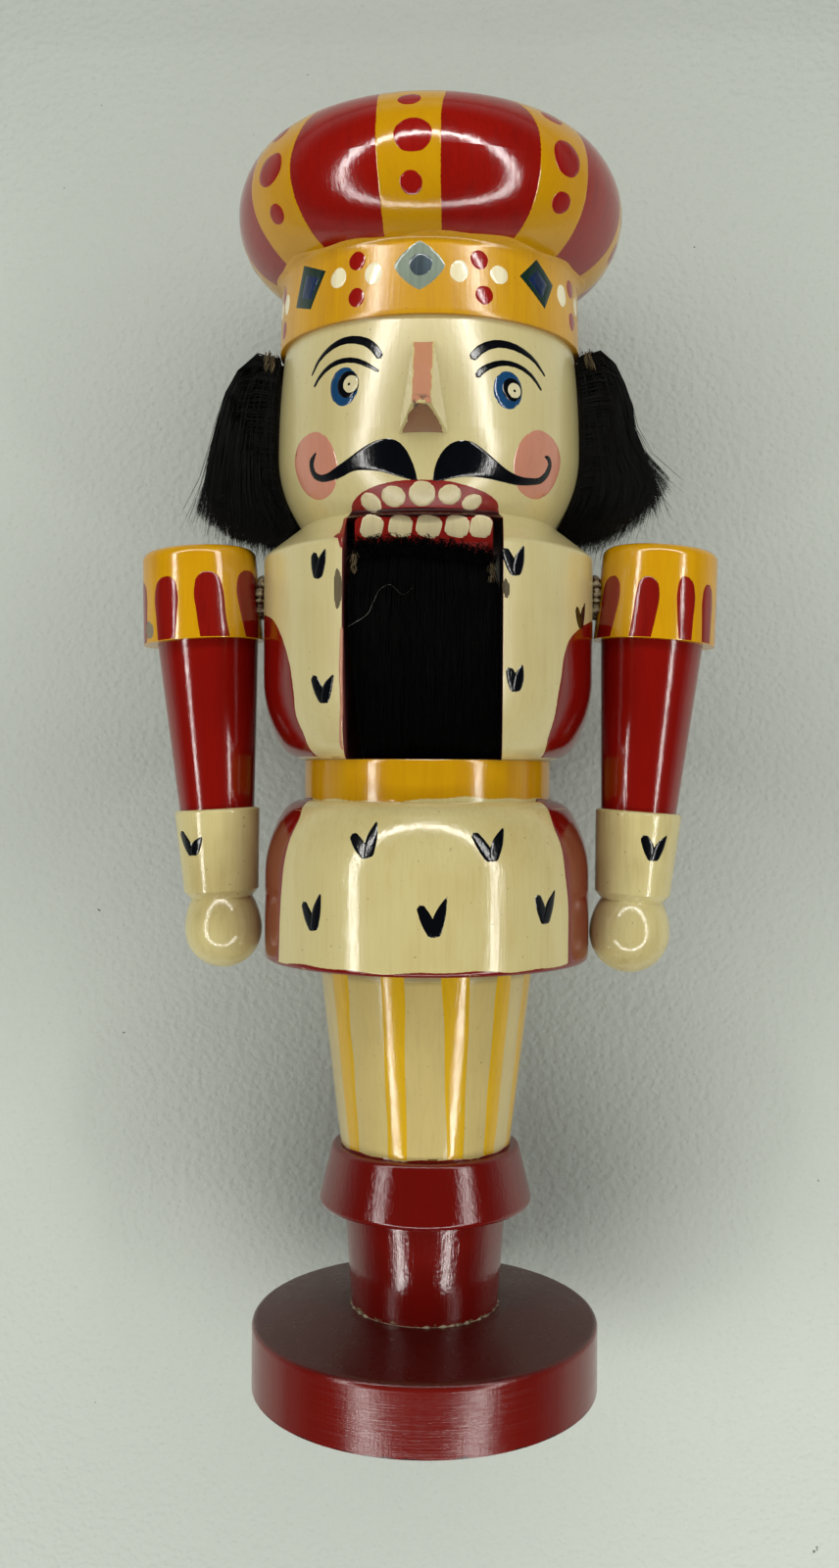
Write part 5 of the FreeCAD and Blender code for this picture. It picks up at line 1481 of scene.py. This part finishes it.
class NUTCRACKER_OT_hair(KingOperator, bpy.types.Operator):
    """Grows the black fur round the back of the head"""

    bl_idname = "nutcracker.hair"
    bl_label = "Hair"

    def execute(self, context):
        king = self.paint(context)
        sizes = self.sizes(context)
        fur = fur_material("hair_black", king.fur_black, shine=0.16, dull=0.38)
        core = self.core(fur)
        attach(core, "figure")
        for seed, (name, start, end, share) in enumerate(HAIR_PARTS):
            paths = self.paths(int(share * sizes.hair_strands), start, end, seed)
            piece = strands(name, paths, sizes.strand, HAIR_TAPER, fur)
            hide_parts("hair_fur")
            if name == "hair_back":
                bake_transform(piece)
            else:
                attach(piece, "figure")
        roots = strands("hair_roots", self.roots(ROOT_HAIRS), sizes.strand, HAIR_TAPER, pale_hide())
        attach(roots, "figure")
        return {"FINISHED"}

    def roots(self, count):
        """Short pale hairs that hang at the two upper front corners of the hide."""
        noise = np.random.default_rng(55)
        share = np.linspace(0.0, 1.0, SHORT_STEPS)[None, :]
        corner = np.where(noise.uniform(0.0, 1.0, (count, 1)) < 0.5, HAIR_START - 1.0, HAIR_END + 1.0)
        angle = np.radians(corner + noise.normal(0.0, 1.2, (count, 1)) + 0.0 * share)
        out = HIDE_RADIUS + noise.uniform(-0.2, 2.2, (count, 1)) + 0.6 * share
        level = noise.uniform(241.0, 244.0, (count, 1)) - 2.2 * share
        return np.stack([out * np.sin(angle), -out * np.cos(angle), level], axis=-1)

    def fullness(self, level, angle):
        """Thickness of the fur: the left side's in front of one ear, the right side's at the other, and a
        smooth change between them round the back."""
        share = self.turned(angle)
        left = np.interp(level, HAIR_LEVELS, HAIR_LEFT)
        right = np.interp(level, HAIR_LEVELS, HAIR_RIGHT)
        return left * (1 - share) + right * share

    def turned(self, angle):
        """How far round the back an angle is: u * u * (3 - 2 * u), where u goes from nought to one."""
        u = np.clip((angle - CHANGE_START) / CHANGE_SPAN, 0.0, 1.0)
        return u * u * (3 - 2 * u)

    def paths(self, count, start, end, seed):
        """Strands rooted all over the hide, thicker at its front edges. Each climbs a little to its crest and
        falls to its foot. It stands off the head by its layer's share of the way from the skin to the fur's
        outside: the higher its root, the further out its layer, but two in five are anywhere inside that."""
        noise = np.random.default_rng(100 + seed)
        head = Turned("head_and_torso", 190.0, HEAD_TOP)
        share = (np.linspace(0.0, 1.0, HAIR_STEPS)**1.35)[None, :]
        root_angle = noise.uniform(start, end, count)[:, None]
        fringe = noise.uniform(0.0, FRINGE, (count, 1))
        near_edge = noise.uniform(0.0, 1.0, (count, 1)) < FRINGE_SHARE
        if start == HAIR_START:
            root_angle = np.where(near_edge, start + fringe, root_angle)
        if end == HAIR_END:
            root_angle = np.where(near_edge, end - fringe, root_angle)
        depth = noise.beta(1.35, 0.9, (count, 1))
        root = LOWEST_ROOT + (HAIR_TOP - 1.2 - LOWEST_ROOT) * depth
        locks = np.linspace(start, end, max(6, int((end - start) / LOCK_SPACING)))
        near = np.argmin(np.abs(root_angle - locks[None] + noise.normal(0.0, 1.2, (count, 1))), axis=1)
        lock_angle = locks[near][:, None]
        lock_drop = noise.normal(0.0, 0.9, len(locks))[near][:, None]
        lock_out = noise.normal(0.0, 0.04, len(locks))[near][:, None]
        inner = np.where(noise.uniform(0.0, 1.0, (count, 1)) < INNER_SHARE,
                         noise.uniform(0.0, 1.0, (count, 1)), 1.0)
        layer = np.clip((depth**0.9 + noise.normal(0.0, 0.05, (count, 1)) + lock_out) * inner, 0.0, 1.03)
        hem = HEM_RISE - HEM_LOSS * self.turned(root_angle)
        foot = LOWEST_FOOT + hem * layer**4 + lock_drop + np.abs(noise.normal(0.0, 1.2, (count, 1)))
        crest = root + (0.5 + 2.2 * depth**4) * noise.uniform(0.8, 1.05, (count, 1))
        lead = 0.16 + 0.30 * (1 - depth)
        climb = np.clip(share / lead, 0.0, 1.0)
        fall = np.clip((share - lead) / (1 - lead), 0.0, 1.0)
        level = np.where(share < lead, root + (crest - root) * np.sin(climb * math.pi / 2),
                         crest - (crest - foot) * fall**1.1)
        skin = np.minimum(HIDE_RADIUS, head.radius_at(level) + 0.9)
        outside = HIDE_RADIUS + self.fullness(np.where(share < lead, crest, level), root_angle)
        out = skin + layer * (outside - skin) * np.where(share < lead, 1 - np.cos(climb * math.pi / 2), 1.0)
        drift = (lock_angle - root_angle) * 0.5 * share**1.5 + noise.normal(0.0, 1.2, (count, 1)) * share**2
        angle = np.radians(root_angle + drift)
        loose = noise.uniform(0.0, 1.0, (count, 1)) < LOOSE_SHARE
        wild = loose * noise.uniform(0.4, 4.0, (count, 1)) * layer**3 * share**4
        curl = 0.30 * np.sin(share * noise.uniform(4, 9, (count, 1)) + noise.uniform(0, PHASE, (count, 1)))
        out = np.maximum(out + wild + curl * share, head.radius_at(level) + 0.3)
        level = level - loose * noise.uniform(0.0, 4.5, (count, 1)) * share**3
        return np.stack([out * np.sin(angle), -out * np.cos(angle), level], axis=-1)

    def core(self, fur):
        """A dark lining under the strands: an outline swept round the hide, thinner than the fur and closed
        at its ends."""
        out = LINING_OUT + HIDE_RADIUS
        angle = np.radians(np.linspace(HAIR_START + 5.0, HAIR_END - 5.0, LINING_STEPS))
        shape = (LINING_STEPS, len(out))
        points = np.stack([np.sin(angle)[:, None] * out, -np.cos(angle)[:, None] * out,
                           np.broadcast_to(LINING_LEVELS, shape)], axis=-1)
        index = np.arange(points.size // 3).reshape(shape)
        sides = grid_quads(np.hstack([index, index[:, :1]]))
        start = np.array([[0, 1, 2, 7], [2, 3, 6, 7], [3, 4, 5, 6]])
        faces = np.vstack([sides, start, start[:, ::-1] + index[-1, 0]])
        piece = mesh_piece("hair_lining", points.reshape(-1, 3), faces, fur, smooth=True)
        outward_faces(piece)
        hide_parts("hair_fur")
        return piece


def outward_faces(piece):
    """Turns every face of a closed shell outwards."""
    shell = bmesh.new()
    shell.from_mesh(piece.data)
    bmesh.ops.recalc_face_normals(shell, faces=shell.faces)
    shell.to_mesh(piece.data)
    shell.free()


def fur_material(name, colour, shine, dull):
    """Fur of a colour: strands with a slight sheen, and paler, duller ones among them."""
    made = bpy.data.materials.get(name)
    if made:
        return made
    material, shader, surface, place = new_material(name)
    tint = shader.noise(place, 1.0, 2.0, FUR_TINTS)
    shade = shader.mix(shader.ramp(tint, 0.4, 0.7), rgba(colour), rgba(toned(colour, 2.2)))
    shader.join(shade, surface, "Base Color")
    rough = shader.plus(shader.times(tint, 0.25), dull)
    shader.join(rough, surface, "Roughness")
    set_shader(surface, specular_ior_level=shine)
    return material


def pale_hide():
    """The short pale hairs at the hide's edges."""
    return fur_material("hide_pale", srgb(78, 68, 50), shine=0.1, dull=0.7)


# Beard: its front face and its edge on the figure's right at each level
BEARD_LEVELS = [148.2, 156.0, 166.0, 176.0, 184.9, 191.0, 195.2]
BEARD_FRONTS = [-26.5, -28.4, -30.2, -31.8, -33.2, -33.0, -31.9]
BEARD_RIGHT_EDGE = [-13.6, -14.4, -15.3, -16.4, -16.9, -16.8, -15.4]
BEARD_LEFT_EDGE = 16.95
# Levels, and the depth of the fur's back at each
BEARD_BACK = ([148.0, 176.0, 184.0, 196.0], [-17.0, -27.5, -30.6, -30.8])
BEARD_STEPS = 8
# Share of a hair's width that a beard strand has, the beard's half width, the roots' lowest level, the level
# of its foot, and the share of short curled strands
BEARD_FINENESS = 0.8
BEARD_HALF = 15.0
BEARD_ROOTS = 182.0
BEARD_FOOT = 148.7
TUFT_SHARE = 0.22
# Short pale hairs at the jaw's edges: number, sideways places and level
FELT_HAIRS = 90
FELT_SIDES = (14.4, 15.5)
FELT_LEVEL = 192.4
# A pale thread caught in the beard: share of a hair's width, steps, and its way as sideways place and level
LINT_FINENESS = 0.22
LINT_STEPS = 48
LINT = [(-16.4, 176.6), (-14.6, 177.6), (-11.9, 179.5), (-10.7, 181.9), (-9.0, 184.8), (-6.9, 185.6),
        (-5.7, 184.5), (-4.4, 183.5), (-3.0, 184.2), (-1.6, 185.7)]


class NUTCRACKER_OT_beard(KingOperator, bpy.types.Operator):
    """Grows the black beard that hangs from the jaw down the slot"""

    bl_idname = "nutcracker.beard"
    bl_label = "Beard"

    def execute(self, context):
        sizes = self.sizes(context)
        # The beard's fur is the hair's black darkened to 0.4: painted shade of the mouth slot
        fur = fur_material("beard_black_shaded", toned(self.paint(context).fur_black, 0.4), shine=0.05, dull=0.6)
        hair = strands("beard", self.paths(sizes.beard_strands), sizes.strand * BEARD_FINENESS, BEARD_TAPER,
                       fur)
        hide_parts("beard_fur")
        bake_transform(hair)
        felt = strands("beard_felt", self.felt(FELT_HAIRS), sizes.strand, HAIR_TAPER, pale_hide())
        places = flow(LINT, LINT_STEPS)
        depth = np.interp(places[:, 1], BEARD_LEVELS, BEARD_FRONTS) - 0.3
        thread = np.column_stack([places[:, 0], depth, places[:, 1]])[None]
        grey = fur_material("lint", srgb(104, 102, 94), shine=0.3, dull=0.5)
        lint = strands("beard_lint", thread, LINT_FINENESS * sizes.strand, 1.0, grey)
        for piece in (felt, lint):
            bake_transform(piece)
        return {"FINISHED"}

    def felt(self, count):
        """Short pale hairs that hang where the hide shows at the jaw's two edges."""
        noise = np.random.default_rng(77)
        share = np.linspace(0.0, 1.0, SHORT_STEPS)[None, :]
        side = np.where(noise.uniform(0.0, 1.0, (count, 1)) < 0.5, -1.0, 1.0)
        x = side * noise.uniform(*FELT_SIDES, (count, 1)) + 0.5 * noise.normal(0.0, 1.0, (count, 1)) * share
        level = FELT_LEVEL - 1.0 * side - noise.uniform(0.0, 3.6, (count, 1)) - 2.0 * share
        y = BEARD_FACE - 0.4 - 2.4 * np.sin(share * 1.6)
        return np.stack(np.broadcast_arrays(x, y, level), axis=-1)

    def paths(self, count):
        """Strands rooted on the hide behind the jaw's face: each leaves it forwards, waves a little and falls
        between the slot's walls. About one in five is short, curls upwards and makes the woolly upper
        edge."""
        noise = np.random.default_rng(31)
        share = np.linspace(0.0, 1.0, BEARD_STEPS)[None, :]
        root_x = noise.uniform(-BEARD_HALF, BEARD_HALF, (count, 1))
        top = BEARD_TOP - BEARD_TOP_BEND * (root_x - BEARD_CREST)**2
        root_z = BEARD_ROOTS + (top - BEARD_ROOTS) * noise.uniform(0.0, 1.0, (count, 1))**0.8
        foot = BEARD_FOOT + np.abs(noise.normal(0.0, 2.6, (count, 1)))
        level = root_z - (root_z - foot) * share**1.15
        front = np.interp(level, BEARD_LEVELS, BEARD_FRONTS)
        depth = noise.uniform(0.0, 1.0, (count, 1))**1.6
        back = np.interp(level, *BEARD_BACK)
        full = front + (back - front) * depth
        away = np.clip(share * 4.0, 0.0, 1.0)
        y = BEARD_FACE - 0.2 + (full - BEARD_FACE + 0.2) * away
        wave = 0.5 * np.sin(level * noise.uniform(0.12, 0.3, (count, 1))
                            + noise.uniform(0, PHASE, (count, 1)))
        spread = root_x * (1 + 0.12 * away) + (noise.normal(0.0, 1.2, (count, 1)) + wave) * share
        x = np.clip(spread, np.interp(level, BEARD_LEVELS, BEARD_RIGHT_EDGE) + np.abs(wave), BEARD_LEFT_EDGE)
        y = y + 0.4 * wave * share
        tuft = noise.uniform(0.0, 1.0, (count, 1)) < TUFT_SHARE
        reach = noise.uniform(0.5, 1.9, (count, 1))
        lean = noise.normal(0.0, 1.4, (count, 1))
        curl = noise.uniform(1.5, 3.6, (count, 1)) * share
        tuft_x = root_x + lean * share + 0.5 * np.sin(curl * 2.0)
        tuft_y = BEARD_FACE - 0.2 - 1.9 * reach * np.sin(share * 1.9)
        tuft_z = top - noise.uniform(0.0, 3.5, (count, 1)) + reach * np.sin(curl)
        paths = np.stack([x, y, level], axis=-1)
        tufts = np.stack(np.broadcast_arrays(tuft_x, tuft_y, tuft_z), axis=-1)
        return np.where(tuft[..., None], tufts, paths)


# Rings of glue: radii, middles of the shoulder rings, and how many places there are round a ring and its tube
ANKLE_RADIUS = 17.45
SHOULDER_RADIUS = 3.7
LEFT_GAP = 39.75
RIGHT_GAP = 39.9
RING_STEPS = 240
RING_SIDES = 8
GLUE_DIRT = srgb(74, 34, 22)


class NUTCRACKER_OT_glue(KingOperator, bpy.types.Operator):
    """Runs dried glue round the ankle and in the shoulder gap"""

    bl_idname = "nutcracker.glue"
    bl_label = "Glue"

    def execute(self, context):
        king = self.paint(context)
        material = self.material(king)
        bead = self.sizes(context).bead / MM
        self.ring("ankle_glue", (0.0, 0.0, BASE_SEAT), (1.0, 0.0, 0.0), (0.0, -1.0, 0.0), ANKLE_RADIUS, bead,
                  fill=0.22, seed=5, material=material, slot="boot_enamel")
        for side, name, middle in ((1.0, "left", LEFT_GAP), (-1.0, "right", RIGHT_GAP)):
            self.ring(name + "_shoulder_glue", (side * middle, 0.0, DOWEL_LEVEL), (0.0, 1.0, 0.0),
                      (0.0, 0.0, 1.0), SHOULDER_RADIUS, 1.9 * bead, fill=0.55, seed=12, material=material,
                      slot="bare_wood")
        return {"FINISHED"}

    def ring(self, name, centre, across, along, radius, bead, fill, seed, material, slot):
        """A ring of glue: a tube round a circle, whose size wavers by a few seeded sines between beads."""
        turn = np.linspace(0.0, 2 * math.pi, RING_STEPS + 1)[:-1]
        noise = np.random.default_rng(seed)
        lumps = sum(noise.uniform(0.2, 1.0) * np.sin(wave * turn + noise.uniform(0, PHASE))
                    for wave in (3, 5, 8, 13, 21, 34, 55))
        size = bead * np.clip(fill + 0.26 * lumps, 0.12, 1.0)
        section = np.linspace(0.0, 2 * math.pi, RING_SIDES + 1)[:-1]
        axis = np.cross(across, along)
        spoke = np.cos(turn)[:, None] * np.array(across) + np.sin(turn)[:, None] * np.array(along)
        reach = radius + size[:, None] * np.cos(section)
        height = size[:, None] * 0.8 * np.sin(section)
        points = np.array(centre) + spoke[:, None] * reach[..., None] + axis * height[..., None]
        index = np.arange(RING_STEPS * RING_SIDES).reshape(RING_STEPS, RING_SIDES)
        index = np.vstack([index, index[:1]])
        index = np.hstack([index, index[:, :1]])
        seam = mesh_piece(name, points.reshape(-1, 3), grid_quads(index), material, smooth=True)
        outward_faces(seam)
        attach(seam, "figure")

    def material(self, king):
        """Dull, cloudy dried glue with dirt in it."""
        material, shader, surface, place = new_material("dried_glue")
        cloud = shader.ramp(shader.noise(place, 500.0, 3.0), 0.42, 0.62)
        shader.join(shader.mix(cloud, rgba(king.glue), rgba(GLUE_DIRT)), surface, "Base Color")
        bumped(shader, surface, cloud, 0.6, GLUE_DEPTH)
        set_shader(surface, roughness=0.45)
        return material


# Board: half its size and the level of its middle
BOARD_HALF = 900.0
BOARD_MIDDLE = 144.0
# The board's painted light and shade up its height: share of the way from TONES_FOOT to TONES_SPAN above it,
# both in metres, and share of its colour
BOARD_LIGHT_TONES = [(0.0, 0.88), (0.22, 0.95), (0.48, 0.74), (0.75, 0.96), (0.97, 0.69)]
TONES_FOOT = -0.06
TONES_SPAN = 0.42
# The painted pool of light in a lower corner: levels where it fades out, places where it grows, and its share;
# and the painted shadow beside the legs: its middle, where it fades out sideways and upwards, where it fades in
# at its foot, and its share, in metres too
LIT_CORNER_TOP = (-0.03, 0.03)
LIT_CORNER_SIDE = (-0.06, 0.10)
LIT_CORNER_SHARE = 0.12
SHADOW_MIDDLE = 0.010
SHADOW_EDGE = (0.020, 0.085)
SHADOW_FOOT = (-0.02, 0.01)
SHADOW_SHARE = 0.34
SPECK_GREY = srgb(70, 66, 58)
LAMP_WHITE = (1.0, 0.985, 0.95)
# The room in front of the figure, behind it and as the camera sees it
ROOM_DARK = (0.03, 0.03, 0.028)
ROOM_WHITE = (1.0, 1.0, 0.97)
ROOM_SEEN = srgb(190, 195, 187)
# Camera: width of its sensor in millimetres, and in pixels the photograph's long side, the focal length and
# how far the middle of the picture is moved
SENSOR = 36.0
PHOTO_LONG_SIDE = 1600.0
FOCAL_PIXELS = 1448.0
SHIFT_PIXELS = -7.0


class NUTCRACKER_OT_stage(KingOperator, bpy.types.Operator):
    """Sets the pale board behind the figure, the ring of lamps, the room's light and the camera"""

    bl_idname = "nutcracker.stage"
    bl_label = "Stage"

    def execute(self, context):
        stage = context.scene.king_stage
        self.board(context, stage)
        self.lamps(context, stage)
        self.room(context, stage)
        self.camera(context, stage)
        context.scene.view_settings.view_transform = "Standard"
        return {"FINISHED"}

    def board(self, context, stage):
        """A large upright board of pebbled plastic that shows from its front side alone."""
        depth = stage.backdrop / MM
        corners = [(side * BOARD_HALF, depth, BOARD_MIDDLE + up * BOARD_HALF)
                   for side, up in ((-1, -1), (1, -1), (1, 1), (-1, 1))]
        material, shader, surface, place = new_material("board_plastic")
        pebble = shader.node("ShaderNodeTexVoronoi", {"Vector": place, "Scale": 620.0},
                             feature="SMOOTH_F1").outputs["Distance"]
        fine = shader.noise(place, 1500.0, 3.0)
        broad = shader.noise(place, 9.0, 3.0)
        specks = shader.ramp(shader.noise(place, 260.0, 2.0), 0.785, 0.80)
        split = shader.split(place)
        # The board's colour carries painted light and shade
        tone = self.painted_light_and_shade(shader, split, stage.board)
        worn = shader.times(shader.ramp(broad, 0.35, 0.7), 0.15)
        tone = shader.mix(worn, tone, rgba(toned(stage.board, 0.88)))
        tone = shader.mix(shader.times(specks, 0.75), tone, rgba(SPECK_GREY))
        shader.join(tone, surface, "Base Color")
        height = shader.plus(shader.times(pebble, 0.7), shader.times(fine, 0.3))
        bumped(shader, surface, height, 0.9, PEBBLE_DEPTH)
        set_shader(surface, roughness=0.60)
        path = shader.node("ShaderNodeLightPath").outputs
        seen = shader.math("MAXIMUM", path["Is Camera Ray"], shader.math(
            "MAXIMUM", path["Is Glossy Ray"], path["Is Transmission Ray"]))
        later = shader.math("GREATER_THAN", path["Ray Depth"], 1.5)
        seen = shader.math("MAXIMUM", seen, later)
        back = shader.node("ShaderNodeNewGeometry").outputs["Backfacing"]
        shown = shader.times(seen, shader.minus(1.0, back))
        clear = shader.node("ShaderNodeBsdfTransparent").outputs[0]
        mixed = shader.node("ShaderNodeMixShader", {0: shown, 1: clear, 2: surface.outputs[0]}).outputs[0]
        shader.join(mixed, shader.tree.nodes["Material Output"], "Surface")
        mesh = bpy.data.meshes.new("board")
        mesh.from_pydata([[c * MM for c in corner] for corner in corners], [], [(0, 1, 2, 3)])
        mesh.materials.append(material)
        board = bpy.data.objects.new("board", mesh)
        context.scene.collection.objects.link(board)

    def painted_light_and_shade(self, shader, split, board):
        """The board's painted light and shade: greyer behind the figure's waist and at the top, paler in the
        lower corner at the figure's left, and a painted shadow beside the legs."""
        # Painted light and shade: the board's tone up its height
        height = shader.math("DIVIDE", shader.minus(split[2], TONES_FOOT), TONES_SPAN)
        fade = shader.node("ShaderNodeValToRGB", {0: height})
        fade.color_ramp.interpolation = "B_SPLINE"
        for number, (stop, tone) in enumerate(BOARD_LIGHT_TONES):
            element = fade.color_ramp.elements[number] if number < 2 else fade.color_ramp.elements.new(stop)
            element.position = stop
            element.color = rgba((tone, tone, tone))
        # Painted pool of light in the lower corner at the figure's left
        low = shader.minus(1.0, shader.ramp(split[2], *LIT_CORNER_TOP))
        bright = shader.times(shader.times(shader.ramp(split[0], *LIT_CORNER_SIDE), low), LIT_CORNER_SHARE)
        grey = shader.plus(fade.outputs[0], bright)
        # Painted shadow on the board beside the legs
        off = shader.math("ABSOLUTE", shader.minus(split[0], SHADOW_MIDDLE))
        beside = shader.minus(1.0, shader.ramp(off, *SHADOW_EDGE))
        under = shader.minus(1.0, shader.ramp(split[2], *SHADOW_EDGE))
        shadowed = shader.times(beside, shader.times(under, shader.ramp(split[2], *SHADOW_FOOT)))
        grey = shader.minus(grey, shader.times(shadowed, SHADOW_SHARE))
        return shader.node("ShaderNodeMix", {0: 1.0, 6: rgba(board), 7: grey}, data_type="RGBA",
                           blend_type="MULTIPLY").outputs[2]

    def lamps(self, context, stage):
        """Small flat lamps side by side in a ring that faces the figure."""
        turn = 2 * math.pi / stage.lamps
        for number in range(stage.lamps):
            angle = number * turn
            lamp = bpy.data.lights.new(f"ring_lamp_{number}", "AREA")
            lamp.shape = "RECTANGLE"
            lamp.size = 2 * stage.lamp_radius * math.tan(turn / 2)
            lamp.size_y = stage.lamp_width
            lamp.energy = stage.lamp_power / stage.lamps
            lamp.color = LAMP_WHITE
            holder = bpy.data.objects.new(lamp.name, lamp)
            holder.visible_camera = False
            out = Vector((math.sin(angle), 0.0, math.cos(angle)))
            across = Vector((math.cos(angle), 0.0, -math.sin(angle)))
            facing = Vector((0.0, -1.0, 0.0))
            turnout = Matrix((across, facing.cross(across), facing)).transposed().to_4x4()
            centre = Vector((0.0, -stage.lamp_distance, stage.lamp_height)) + out * stage.lamp_radius
            holder.matrix_world = Matrix.Translation(centre) @ turnout
            context.scene.collection.objects.link(holder)

    def room(self, context, stage):
        """An even pale room: brighter beside and behind the figure than in front of it."""
        world = bpy.data.worlds.new("room")
        world.use_nodes = True
        shader = Shader(world.node_tree)
        background = world.node_tree.nodes["Background"]
        way = shader.node("ShaderNodeTexCoord").outputs["Generated"]
        split = shader.split(way)
        behind = shader.ramp(split[1], -0.30, 0.55)
        colour = shader.mix(behind, rgba(ROOM_DARK), rgba(ROOM_WHITE))
        path = shader.node("ShaderNodeLightPath").outputs
        pale = toned(ROOM_SEEN, 1.0 / stage.room)
        shown = shader.mix(path["Is Camera Ray"], colour, rgba(pale))
        shader.tree.links.new(shown, background.inputs["Color"])
        background.inputs["Strength"].default_value = stage.room
        context.scene.world = world

    def camera(self, context, stage):
        """The photograph's view: a long-side field of 57.8 degrees, turned, leant and set a little low."""
        turn = stage.camera_turn
        forward = Vector((-math.sin(turn), math.cos(turn), 0.0))
        right = Vector((math.cos(turn), math.sin(turn), 0.0))
        up = Vector((0.0, 0.0, 1.0))
        place = -forward * stage.camera_distance - right * stage.camera_shift + up * stage.camera_height
        lean = stage.camera_roll
        across = right * math.cos(lean) + up * math.sin(lean)
        above = up * math.cos(lean) - right * math.sin(lean)
        lens = bpy.data.cameras.new("photo_camera")
        lens.sensor_fit = "AUTO"
        lens.sensor_width = SENSOR
        lens.lens = SENSOR * FOCAL_PIXELS / PHOTO_LONG_SIDE
        lens.shift_y = SHIFT_PIXELS / PHOTO_LONG_SIDE
        lens.clip_start = 0.01
        lens.clip_end = 20.0
        eye = bpy.data.objects.new("photo_camera", lens)
        eye.matrix_world = Matrix.Translation(place) @ Matrix((across, above, -forward)).transposed().to_4x4()
        context.scene.collection.objects.link(eye)
        context.scene.camera = eye


STEPS = [NUTCRACKER_OT_stage, NUTCRACKER_OT_finishes, NUTCRACKER_OT_crown, NUTCRACKER_OT_face,
         NUTCRACKER_OT_mouth, NUTCRACKER_OT_robe, NUTCRACKER_OT_arms, NUTCRACKER_OT_legs, NUTCRACKER_OT_hair,
         NUTCRACKER_OT_beard, NUTCRACKER_OT_glue]


class NUTCRACKER_PT_dressing(bpy.types.Panel):
    """Lists the steps of the dressing, with their colours and sizes"""

    bl_idname = "NUTCRACKER_PT_dressing"
    bl_label = "Painted King"
    bl_space_type = "VIEW_3D"
    bl_region_type = "UI"
    bl_category = "Nutcracker"

    def draw(self, context):
        """One button for each step, then the settings."""
        for step in STEPS:
            self.layout.operator(step.bl_idname)
        for group in (context.scene.king_paint, context.scene.king_sizes, context.scene.king_stage):
            box = self.layout.box()
            for name in group.__annotations__:
                box.prop(group, name)


CLASSES = [KingPaint, KingSizes, KingStage, *STEPS, NUTCRACKER_PT_dressing]


def register():
    """Registers the classes and hangs the settings on the scene."""
    for each in CLASSES:
        bpy.utils.register_class(each)
    bpy.types.Scene.king_paint = PointerProperty(type=KingPaint)
    bpy.types.Scene.king_sizes = PointerProperty(type=KingSizes)
    bpy.types.Scene.king_stage = PointerProperty(type=KingStage)


def unregister():
    """Takes the settings and the classes away again."""
    del bpy.types.Scene.king_stage
    del bpy.types.Scene.king_sizes
    del bpy.types.Scene.king_paint
    for each in reversed(CLASSES):
        bpy.utils.unregister_class(each)


def main():
    """Dresses the figure step by step."""
    register()
    bpy.ops.nutcracker.stage()
    bpy.ops.nutcracker.finishes()
    bpy.ops.nutcracker.crown()
    bpy.ops.nutcracker.face()
    bpy.ops.nutcracker.mouth()
    bpy.ops.nutcracker.robe()
    bpy.ops.nutcracker.arms()
    bpy.ops.nutcracker.legs()
    bpy.ops.nutcracker.hair()
    bpy.ops.nutcracker.beard()
    bpy.ops.nutcracker.glue()


if __name__ == "__main__":
    main()
